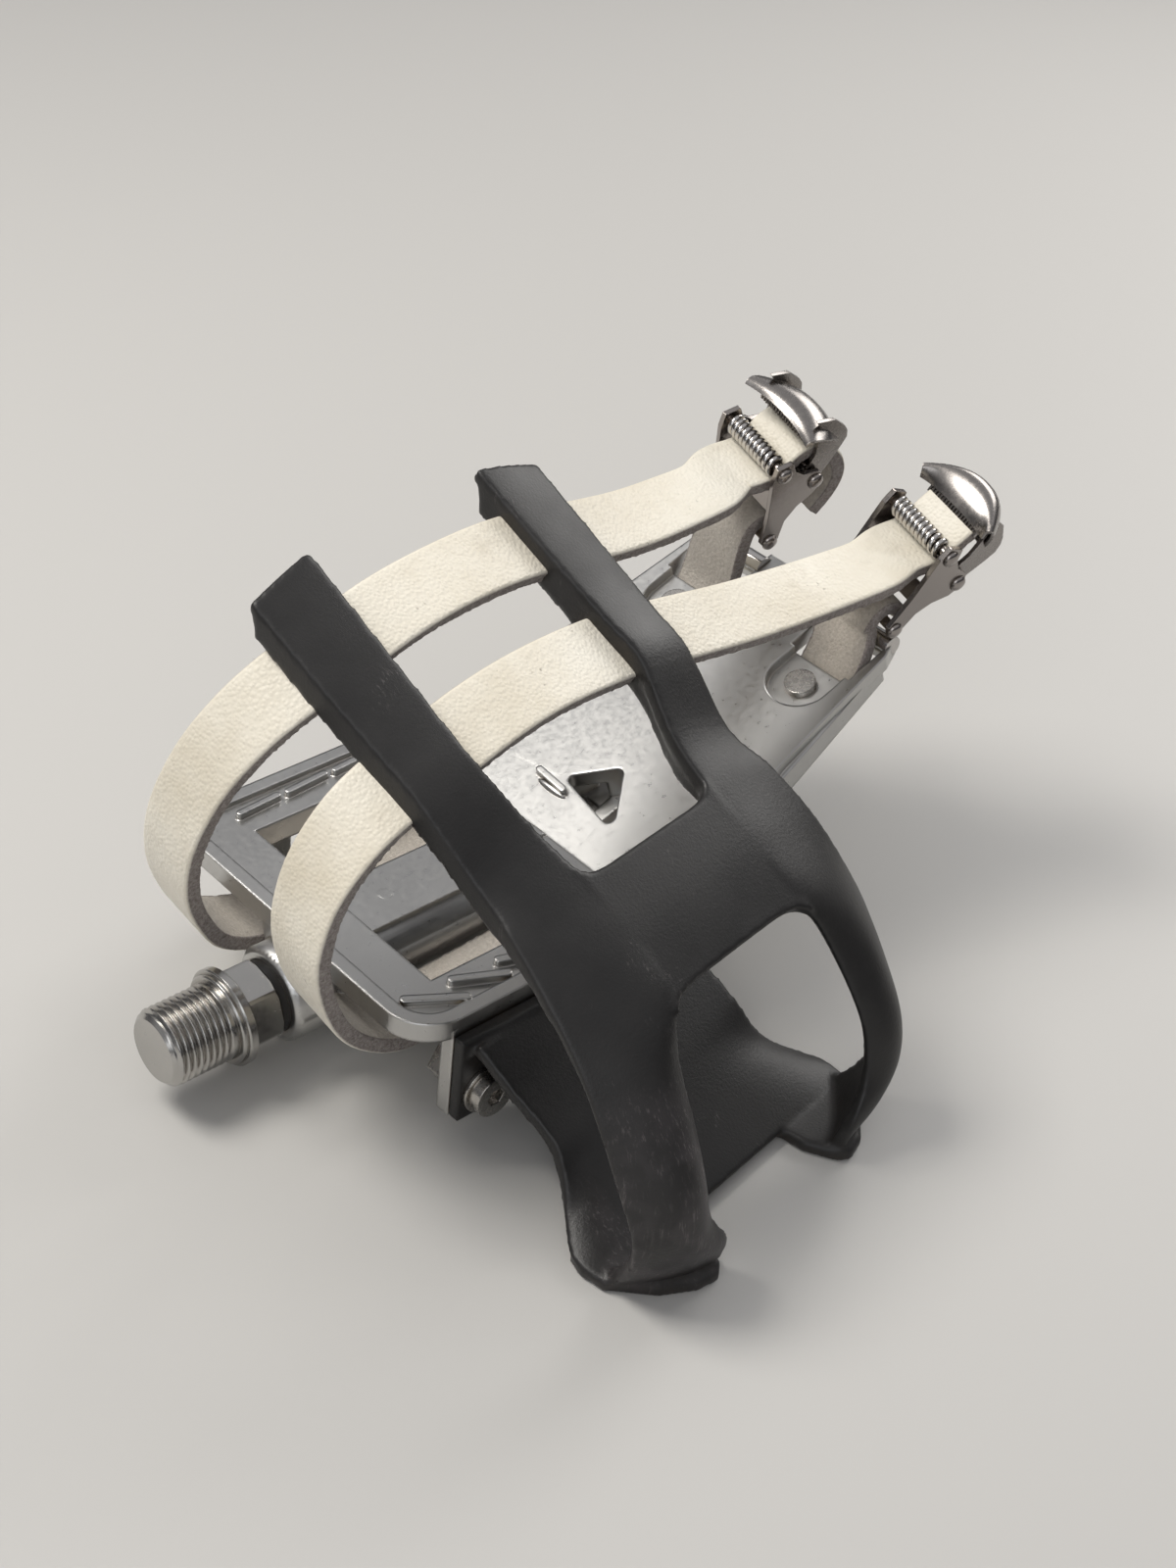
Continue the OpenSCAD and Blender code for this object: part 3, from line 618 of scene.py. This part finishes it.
def thread_radius(x, a):
    """Left-hand thread with a chamfered start and a short plain end."""
    depth = abs(((x / PITCH + a / math.tau) % 1) - 0.5) * 2
    groove = THREAD_DEPTH * min(1, max(0, 1.25 * depth - 0.1))
    start = THREAD_R - THREAD_CHAMFER + (x + THREAD_LEN)
    return min(start, THREAD_R if x > -RUN_OUT else THREAD_R - groove)


def hex_radius(x, a):
    """Spanner hexagon with its corners chamfered at both ends."""
    flat = (math.degrees(a) - HEX_TURN) % 60 - 30
    across = HEX_HALF / math.cos(math.radians(flat))
    return min(across, HEX_EDGE_R + 1.5 * min(x - HEX_X0, HEX_X1 - x))


def round_rows(profile):
    """Rows that are round, from a profile of x and radius."""
    return [(x, lambda _, __, r=r: r) for x, r in profile]


def spindle_rows():
    """Places along the spindle, each with the radius as a function of x and the angle."""
    rows = []
    x = -THREAD_LEN
    while x < -0.05:
        rows.append((x, thread_radius))
        x += PITCH / 9
    rows += round_rows([
        (-0.05, THREAD_R), (0, 7.15), (0, 8.0), (0.25, 8.25), (0.9, 8.3), (0.9, 8.75), (1.15, 9),
        (2.45, 9), (HEX_X0, 8.75), (HEX_X0, HEX_EDGE_R)])
    for start, step in ((HEX_X0, 0.1), (HEX_X0 + 0.7, 0.6), (HEX_X1 - 0.7, 0.1)):
        rows += [(start + step * k, hex_radius) for k in range(1, 8)]
    return rows + round_rows([
        (HEX_X1, 5.5), (12.8, 5.5), (14.8, 4.5), (82, 4.5), (82, 3.5), (92.7, 3.5),
        (SPINDLE_END, 3.2)])


def spindle_mesh():
    rows = spindle_rows()
    n, m = len(rows), 120
    verts = [(-THREAD_LEN * MM, 0, 0)]
    for x, radius in rows:
        for j in range(m):
            a = math.tau * j / m
            r = radius(x, a)
            verts.append((x * MM, r * math.cos(a) * MM, r * math.sin(a) * MM))
    verts.append((SPINDLE_END * MM, 0, 0))
    last = len(verts) - 1
    faces = [tuple(1 + v for v in f) for f in grid_faces(n, m, around=True)]
    for j in range(m):
        k = (j + 1) % m
        faces.append((0, 1 + j, 1 + k))
        faces.append((last, 1 + (n - 1) * m + k, 1 + (n - 1) * m + j))
    ob = mesh_object("turned_spindle", verts, faces, thread_steel, sharp=28)
    face_outward(ob)
    return ob


put(spindle_mesh(), "spindle", "spindle", slot="steel")


# Buckles


def tube(path, r, k):
    """Round bar of k sides along a path."""
    p = np.array(path, float)
    n = len(p)
    verts = []
    up = np.array([0.0, 1.0, 0.0])
    for i in range(n):
        d = p[min(i + 1, n - 1)] - p[max(i - 1, 0)]
        d /= np.linalg.norm(d)
        s = np.cross(d, up)
        if np.linalg.norm(s) < 0.05:
            s = np.cross(d, np.array([1.0, 0, 0]))
        s /= np.linalg.norm(s)
        o = np.cross(s, d)
        for j in range(k):
            a = math.tau * j / k
            verts.append(p[i] + r * (math.cos(a) * s + math.sin(a) * o))
    return verts, capped_faces(n, k)


def join(parts):
    """Vertices and faces of several meshes as one."""
    verts, faces = [], []
    for v, f in parts:
        k = len(verts)
        verts += list(v)
        faces += [tuple(i + k for i in q) for q in f]
    return verts, faces


COIL_R = 1.6
COIL_START = 6.9
COIL_PITCH = 1.166
COIL_TURNS = 11
COIL_STEPS = 26
OPEN_TURN = 9
OPEN_GAP = 0.5
WIRE_R = 0.55


def coil(which):
    """Torsion spring round the roller pin: nine close turns, an open one and a close one."""
    path = []
    for i in range(COIL_TURNS * COIL_STEPS + 1):
        t = i / COIL_STEPS
        gap = OPEN_GAP * min(t - OPEN_TURN, 1) if t > OPEN_TURN else 0
        path.append((COIL_R * math.cos(math.tau * t), COIL_START - COIL_PITCH * t - gap,
                     COIL_R * math.sin(math.tau * t)))
    v, f = tube(path, WIRE_R, 10)
    return [in_buckle(which, q) * MM for q in v], f


def prism(outline, y0, y1):
    """Outline points q, p in the buckle frame, carried along the roller's axis."""
    v = [(q, y0, p) for q, p in outline] + [(q, y1, p) for q, p in outline]
    return v, prism_faces(len(outline))


# Rows of each thumb piece: middle q, p, then the ends' q, p and the half width
SHELL = {
    "front": [(5.0, 6.3, 4.3, 6.0, 9.2), (5.3, 9.0, 3.6, 6.9, 9.5), (6.8, 11.9, 3.3, 7.7, 9.8),
              (9.5, 12.1, 4.6, 7.6, 9.6), (12.6, 9.8, 6.4, 6.6, 9.0), (14.1, 6.0, 8.6, 4.6, 8.0),
              (13.7, 2.6, 11.0, 2.6, 6.4)],
    "rear": [(4.6, 6.4, 2.8, 6.6, 9.6), (5.9, 7.4, 3.6, 7.3, 9.8), (8.4, 7.8, 5.6, 7.0, 9.6),
             (11.4, 6.6, 8.6, 5.6, 9.0), (13.6, 4.0, 11.6, 3.6, 8.0), (14.0, 2.4, 12.6, 2.2, 7.0)],
}
SHELL_T = 0.6
CREST_ROW = {"front": 10, "rear": 5}


def thumb_shell(which):
    """Clam-shaped thumb piece of pressed sheet, with a rolled rim and a comb on its first row."""
    rows = curve(SHELL[which], 5)
    cols = 31
    top = []
    for r in rows:
        for j in range(cols):
            u = 2 * j / (cols - 1) - 1
            e = abs(u) ** 2.2
            top.append(np.array((r[0] + (r[2] - r[0]) * e, r[4] * u, r[1] + (r[3] - r[1]) * e)))
    n = len(rows)
    low = []
    for i in range(n):
        for j in range(cols):
            a = top[min(i + 1, n - 1) * cols + j] - top[max(i - 1, 0) * cols + j]
            b = top[i * cols + min(j + 1, cols - 1)] - top[i * cols + max(j - 1, 0)]
            d = np.cross(a, b)
            low.append(top[i * cols + j] + SHELL_T * d / np.linalg.norm(d))
    crest = CREST_ROW[which]
    rim = tube([top[crest * cols + j] for j in range(cols)], 0.42, 10)
    q, h = SHELL[which][0][0] + 0.2, SHELL[which][0][1]
    tooth = [(q, h - 1.7), (q + 0.7, h - 1.9), (q + 1.1, h + 0.3), (q, h + 0.3)]
    comb = [prism(tooth, 0.75 * j - 0.2, 0.75 * j + 0.2) for j in range(-9, 10)]
    return join([(top + low, sheet_faces(n, cols)), rim] + comb)


def lever(which):
    """Thumb lever: serrated cam on the pin, two cheeks and the thumb piece."""
    cam = []
    for i in range(72):
        a = 5 * i
        r = (CAM_R if i % 4 in (0, 1) else 3.3) if 115 < a < 225 else 3
        cam.append((PIVOT[0] + r * math.cos(math.radians(a)),
                    PIVOT[2] + r * math.sin(math.radians(a))))
    cheek = [(6.5, -3), (7, -6.8), (8.2, -7.4), (9.5, -6.8), (11.2, -4.4), (12.5, -2), (14, 0.8),
             (15, 3.2), (14.6, 5), (13.6, 6.4), (10.5, 8.9), (6.2, 9.6), (7.4, 8), (8, 6.5), (8, 1)]
    v, f = join([prism(cam, -7.2, 7.2), prism(cheek, 6.75, 7.55), prism(cheek, -7.55, -6.75),
                 thumb_shell(which)])
    ob = mesh_object("thumb_lever_" + which, [in_buckle(which, q) * MM for q in v], f,
                     thumb_steel, sharp=35)
    face_outward(ob)
    return ob


PIN_HALF = 8.9
PIN_SIDES = 28


def pin(place):
    """Pin with a domed head at each end, along the roller's direction."""
    profile = [(-PIN_HALF - 0.9, 0.01), (-PIN_HALF - 0.9, 0.8), (-PIN_HALF - 0.65, 1.4),
               (-PIN_HALF - 0.2, 1.7), (-PIN_HALF, 1.7), (-PIN_HALF, 1), (PIN_HALF, 1),
               (PIN_HALF, 1.6), (PIN_HALF + 0.2, 1.6), (PIN_HALF + 0.6, 1.25),
               (PIN_HALF + 0.8, 0.7), (PIN_HALF + 0.8, 0.01)]
    v = []
    for y, r in profile:
        for j in range(PIN_SIDES):
            a = math.tau * j / PIN_SIDES
            v.append((place[0] + r * math.cos(a), y, place[2] + r * math.sin(a)))
    return v, grid_faces(len(profile), PIN_SIDES, around=True)


for w in ("front", "rear"):
    v, f = coil(w)
    put(mesh_object("coil_spring_" + w, v, f, chrome), "cage", "spring_" + w, slot="chrome")
    put(lever(w), "lever_" + w, "lever_" + w, slot="chrome")
    for cad, place in (("lever_pin_", PIVOT), ("roller_pin_", (0, 0, 0)), ("strap_bar_", BAR_AT)):
        v, f = pin(place)
        v = [in_buckle(w, q) * MM for q in v]
        put(mesh_object("turned_" + cad + w, v, f, buckle_steel, sharp=40), "cage", cad + w,
            slot="chrome")
    put(dressed("frame_" + w, "pressed_frame_" + w, buckle_steel), "cage", "frame_" + w,
        slot="chrome")


# Cast body: the CAD copy with its rear window closed and its front one cut to the photo's shape

WING_X = 70
WING_TILT = math.radians(21.5)
DECK_Z = 14
CLOSED_WINDOW = [(10.4, 3), (16.4, 6.2), (8.6, 12.4)]
CLOSED_R = 1.35
PATCH_TOP = 0.02
PATCH_LOW = -3.49
OPEN_WINDOW = [(10.3, -0.9), (8.2, -12.5), (16.4, -6.2)]
OPEN_R = 1.2
CUT_REACH = 8
RIDGE_AT = (6.1, 0.9)
RIDGE_HALF = (0.8, 3.7, 0.75)


def in_wing(x, y, z):
    """Wing coordinates: x up the slope from the bend, z square to the face, in mm."""
    s, c = math.sin(WING_TILT), math.cos(WING_TILT)
    return np.array((WING_X + x * c - z * s, y, DECK_Z + x * s + z * c)) * MM


def window_prism(corners, r, z0, z1):
    """Three-cornered prism with rounded corners, given by the centres of its corners."""
    outline = []
    for i in range(3):
        a, b, c = corners[i - 1], corners[i], corners[(i + 1) % 3]
        start = math.atan2(a[0] - b[0], b[1] - a[1])
        end = math.atan2(b[0] - c[0], c[1] - b[1])
        sweep = (end - start) % math.tau
        outline += [(b[0] + r * math.cos(start + sweep * k / 8),
                     b[1] + r * math.sin(start + sweep * k / 8)) for k in range(9)]
    n = len(outline)
    v = [in_wing(x, y, z0) for x, y in outline] + [in_wing(x, y, z1) for x, y in outline]
    f = [tuple(reversed(range(n))), tuple(range(n, 2 * n))]
    f += [(i, (i + 1) % n, (i + 1) % n + n, i + n) for i in range(n)]
    return v, f


def dome(half):
    """Closed egg shape given by half its length, width and height."""
    steps, around = 16, 24
    v = []
    for i in range(steps + 1):
        a = math.pi * i / steps
        for j in range(around):
            b = math.tau * j / around
            v.append((half[0] * math.sin(a) * math.cos(b), half[1] * math.cos(a),
                      half[2] * math.sin(a) * math.sin(b)))
    return v, grid_faces(steps + 1, around, around=True)


body = dressed("body", "cast_body", cast_alloy)
boolean(body, "UNION", *window_prism(CLOSED_WINDOW, CLOSED_R, PATCH_LOW, PATCH_TOP))
boolean(body, "DIFFERENCE", *window_prism(OPEN_WINDOW, OPEN_R, -CUT_REACH, CUT_REACH))
slope = Vector((-math.sin(WING_TILT), 0, math.cos(WING_TILT)))
for p in body.data.polygons:
    p.use_smooth = not any(abs(p.normal.dot(d)) > 0.9995
                           for d in (slope, Vector((0, 0, 1)), Vector((0, 1, 0))))
put(body, "cage", "body", slot="cast")
v, f = dome(RIDGE_HALF)
put(mesh_object("wing_ridge", [in_wing(RIDGE_AT[0] + x, RIDGE_AT[1] + y, z) for x, y, z in v], f,
                cast_alloy), "cage", slot="cast")


# Toe clip: the CAD part's own stations, lofted finer and fused as one moulding.
# Clip coordinates are u across, v along the foot and z up, in mm.

CLIP_AT = (48.8, -36, 0)
CLIP_YAW = 8
CLIP_T = 2.5
FLANGE_X = (22, 72)
FLANGE_Y = -36
FLANGE_Z = (-7, 11)
GROUND = -12.5
VOXEL = 0.00055

# Side walls of the arms; the outer ones are less deep
WALL_T = 2
WALL_TOP = -0.3
WALL_LEAN = 0.12
BAND_DEPTH = 2.4
FULL_DEPTH = 8.7
OUTER_CUT = 2.2

# Strap slots: places along the arm, height of the first one, and how much lower the outer ones are
SLOT_V = (15.3, 35.5)
SLOT_Z = 60.4
SLOT_RISE = 0.532
SLOT_DROP = 1.6
SLOT_TILT = math.radians(28)
SLOT_R = 2.3
SLOT_HALF = 5.4
INNER_U = 20.6
OUTER_U = 32.4

# Rail stations: inner edge u, v, z, outer edge u, v, z, bulge toward the toe, wall depth
rail_route = [
    [19.6, 46.3, 82.2, 33.8, 44.8, 79.1, 0, 8], [19.9, 30, 73.4, 33.6, 29, 70.6, 0, 8.3],
    [20.3, 17, 66.5, 33.2, 16, 63.8, 0, 8.4], [20.5, 8.7, 62.2, 33.1, 8, 59.6, 0, 8.7],
    [17.5, -2.1, 53.2, 31.8, -3.3, 49.4, 0, 7.2], [16, -12, 48, 33.4, -12, 45.2, 0, 4.6],
    [16, -22, 42.8, 35, -21.5, 38.6, 0.4, 2.4], [17.2, -31.6, 36.4, 36, -29.4, 30.6, 1.6, 2.4],
    [20, -36.4, 28.4, 36.6, -34, 24, 3.6, 2.4], [21.4, -41.6, 20, 36.6, -37, 18, 5, 2.4],
    [22.2, -45.4, 12, 36.4, -40, 11.6, 5.4, 2.4], [21.6, -47.4, 4, 35.8, -42.4, 5, 4.6, 2.4],
    [18, -49, -2.4, 35, -42.6, -1.4, 3.2, 2.4], [17.4, -48.6, -7.4, 34.2, -40.6, -7, 2, 2.4],
    [18.6, -47.4, -11.8, 33, -37.4, -11.6, 1, 2.4]]
# Base rows: v, half width, height of the middle, height of the margins
base_route = [
    [-9, 25, 5.6, 5.6], [-18, 25, 1, 1], [-22, 26.5, -1.2, -4], [-25, 29.5, -2.9, -7.6],
    [-29, 33, -5.1, -9.6], [-33, 34.5, -7.3, -10], [-38, 34, -10, -10]]


def sheet(grid, t):
    """Closed sheet of even thickness under a grid of surface points."""
    g = np.array(grid, float)
    a = np.gradient(g, axis=0)
    b = np.gradient(g, axis=1)
    d = np.cross(a, b)
    d /= np.linalg.norm(d, axis=2)[..., None]
    d *= np.sign(d[..., 2].mean())
    low = g - t * d
    return [*g.reshape(-1, 3), *low.reshape(-1, 3)], sheet_faces(*g.shape[:2])


def rail_sheet(side):
    """Arm, shoulder and leg of one side as one curved band."""
    grid = []
    for q in curve(rail_route, 6):
        row = []
        for t in np.linspace(0, 1, 15):
            row.append((side * (q[0] + (q[3] - q[0]) * t),
                        q[1] + (q[4] - q[1]) * t - q[6] * 4 * t * (1 - t),
                        q[2] + (q[5] - q[2]) * t ** 1.5))
        grid.append(row)
    return sheet(grid, CLIP_T)


def bridge_sheet():
    """Sheet between the rails, whose free edges run round into them."""
    rows = curve(rail_route[5:8], 6)
    grid = []
    for i, q in enumerate(rows):
        along = 1 - 2 * i / (len(rows) - 1)
        row = []
        for t in np.linspace(-1, 1, 31):
            run = 2.4 * along * abs(along) * abs(t) ** 9
            row.append((t * (q[0] + 0.8), q[1] + run, q[2] + 0.58 * run + 0.25 * (1 - t * t)))
        grid.append(row)
    return sheet(grid, CLIP_T)


def slot_tool(u, v, z):
    """Long rounded prism that cuts a strap slot through an arm's wall."""
    outline = []
    for k in range(24):
        a = math.tau * (k + 0.5) / 24
        x = math.copysign(SLOT_HALF, math.cos(a)) + SLOT_R * math.cos(a)
        y = SLOT_R * math.sin(a)
        outline.append((v + x * math.cos(SLOT_TILT) - y * math.sin(SLOT_TILT),
                        z + x * math.sin(SLOT_TILT) + y * math.cos(SLOT_TILT)))
    return [(u + s, a, b) for s in (-4, 4) for a, b in outline], prism_faces(len(outline))


def arm_wall(side, outer):
    """Side wall of an arm, flush with the band's edge, with its two strap slots."""
    rows = curve(rail_route[:7], 4)
    verts = []
    for q in rows:
        u, v, z = (q[3] - WALL_T, q[4], q[5]) if outer else (q[0], q[1], q[2])
        cut = OUTER_CUT if outer else 0
        deep = q[7] - cut * (q[7] - BAND_DEPTH) / (FULL_DEPTH - BAND_DEPTH)
        for du, dz in ((0, WALL_TOP), (WALL_T, WALL_TOP), (WALL_T, -deep), (0, -deep)):
            verts.append(np.array((side * (u + du), v + WALL_LEAN * (dz - WALL_TOP), z + dz)))
    faces = grid_faces(len(rows), 4, around=True)
    faces += [(3, 2, 1, 0), tuple(4 * len(rows) - 4 + j for j in range(4))]
    wall = mesh_object("wall", verts, faces, nylon, smooth=False)
    at_u = OUTER_U if outer else INNER_U
    for v in SLOT_V:
        z = SLOT_Z + SLOT_RISE * (v - SLOT_V[0]) - (SLOT_DROP if outer else 0)
        boolean(wall, "DIFFERENCE", *slot_tool(side * at_u, v, z))
    out = ([v.co[:] for v in wall.data.vertices], [tuple(p.vertices) for p in wall.data.polygons])
    bpy.data.objects.remove(wall)
    return out


def foot(side):
    """Flat pad that a leg stands on."""
    outline = [(14.5, -36), (14.5, -42), (17, -48), (19, -49.4), (23, -48.6), (28.6, -44.6),
               (33, -38.6), (34.4, -33), (33, -29.5), (28, -33)]
    v = [(side * a, b, z) for z in (GROUND, GROUND + CLIP_T) for a, b in outline]
    return v, prism_faces(len(outline))


def base_sheet():
    """Sloping base, whose first row follows the flange and not the clip's turn."""
    across = np.linspace(-1, 1, 37)
    grid = [[(t * 25, -1.2 - 0.84 * t, 10.5) for t in across]]
    for v, half, middle, margin in curve(base_route, 5):
        grid.append([(t * half, v, middle + (margin - middle) * t ** 4) for t in across])
    return sheet(grid, CLIP_T)


def clip_mesh():
    """All parts of the clip fused into one skin, its flange pressed flat and its feet level."""
    parts = [rail_sheet(1), rail_sheet(-1), bridge_sheet(), base_sheet(), foot(1), foot(-1)]
    parts += [arm_wall(s, outer) for s in (1, -1) for outer in (False, True)]
    v, f = join(parts)
    v = [np.array(CLIP_AT) + turn("Z", CLIP_YAW) @ np.array(q, float) for q in v]
    corners = [np.array((x, y, z))
               for x in FLANGE_X for y in (FLANGE_Y - CLIP_T, FLANGE_Y) for z in FLANGE_Z]
    v, f = join([(v, f), (corners, [(0, 1, 3, 2), (4, 6, 7, 5), (0, 4, 5, 1),
                                    (2, 3, 7, 6), (0, 2, 6, 4), (1, 5, 7, 3)])])
    o = mesh_object("moulded_clip", [q * MM for q in v], f, nylon)
    face_outward(o)
    fuse = o.modifiers.new("fuse", "REMESH")
    fuse.mode = "VOXEL"
    fuse.voxel_size = VOXEL
    soft = o.modifiers.new("soften", "SMOOTH")
    soft.factor = 0.5
    soft.iterations = 4
    apply_modifiers(o)
    for p in o.data.vertices:
        if p.co.z < 0.02 and p.co.y > FLANGE_Y * MM:
            p.co.y = FLANGE_Y * MM
        p.co.z = max(p.co.z, GROUND * MM)
    return o


put(clip_mesh(), "cage", "toe_clip", slot="nylon")


# Finishes of the CAD nodes, and the small hardware

finish_of = {
    "cast": cast_alloy,
    "steel": bare_steel,
    "chrome": chrome,
    "nylon": nylon,
    "seal": seal_rubber,
    "leather": leather,
}
slots = {s["node"]: s["material_slot"] for s in frame["record"]["subparts"]}
for n, o in nodes.items():
    o.data.materials.clear()
    o.data.materials.append(finish_of[slots[n]])
hardware = {
    "cage": ("slot_bar_front", "slot_bar_rear", "slot_screws", "slot_nuts", "clip_bolts",
             "clip_nuts", "clip_washers", "seal_in", "dust_cap"),
    "spindle": ("locknut", "cone_out", "lock_washer"),
}
for b, names in hardware.items():
    for n in names:
        put(dressed(n, "finished_" + n, finish_of[slots[n]]), b, n, slot=slots[n])


# Floor, light and camera

# The floor lies just under the clip's feet
FLOOR_Z = -0.01252
LIT_AT = (0.06, 0, 0.03)

bpy.ops.mesh.primitive_plane_add(size=6, location=(0, 0, FLOOR_Z))
floor = bpy.context.object
floor.name = "floor"
fm, _, fb = new_material("floor")
fb.inputs["Base Color"].default_value = (0.50, 0.49, 0.47, 1)
fb.inputs["Roughness"].default_value = 0.55
floor.data.materials.append(fm)


def area(name, place, size, power, tint):
    """Square lamp that looks at the middle of the part."""
    light = bpy.data.lights.new(name, "AREA")
    light.energy = power
    light.size = size
    light.color = tint
    o = bpy.data.objects.new(name, light)
    o.location = place
    o.rotation_mode = "QUATERNION"
    o.rotation_quaternion = (Vector(LIT_AT) - Vector(place)).to_track_quat("-Z", "Y")
    bpy.context.scene.collection.objects.link(o)


area("key", (-0.25, 0.35, 0.75), 0.35, 6.0, (1, 0.97, 0.92))
area("fill", (-0.7, -0.5, 0.5), 0.7, 2.2, (0.95, 0.97, 1))
area("side", (0.75, 0.1, 0.45), 0.4, 2.4, (1, 0.98, 0.95))

world = bpy.data.worlds.new("studio")
bpy.context.scene.world = world
world.use_nodes = True
wt = world.node_tree
sky = add(wt, "ShaderNodeTexCoord")
split = add(wt, "ShaderNodeSeparateXYZ")
link(wt, sky.outputs["Generated"], split.inputs[0])
shade = ramp(wt, spread(wt, split.outputs["Z"], -1, 1, 0, 1),
             [(0.44, (0.30, 0.29, 0.28)), (0.54, (0.10, 0.10, 0.11)), (0.66, (0.20, 0.20, 0.21)),
              (0.86, (0.75, 0.75, 0.77))])
link(wt, shade, wt.nodes["Background"].inputs["Color"])
wt.nodes["Background"].inputs["Strength"].default_value = 0.7

# The camera that was fitted to the photo
CAMERA_AT = (-0.1718, -0.2468, 0.2760)
CAMERA_FORWARD = (0.580, 0.559, -0.593)
CAMERA_UP = (0.345, 0.491, 0.800)
CAMERA_LENS = 53.93

cam_data = bpy.data.cameras.new("photo_camera")
cam = bpy.data.objects.new("photo_camera", cam_data)
bpy.context.scene.collection.objects.link(cam)
cam_data.sensor_width = 36
cam_data.lens = CAMERA_LENS
cam_data.clip_start = 0.01
cam_data.clip_end = 20
forward = Vector(CAMERA_FORWARD).normalized()
right = forward.cross(Vector(CAMERA_UP)).normalized()
up = right.cross(forward)
facing = Matrix((right, up, -forward)).transposed()
cam.matrix_world = Matrix.Translation(CAMERA_AT) @ facing.to_4x4()
bpy.context.scene.camera = cam
bpy.context.scene.view_settings.view_transform = "Standard"
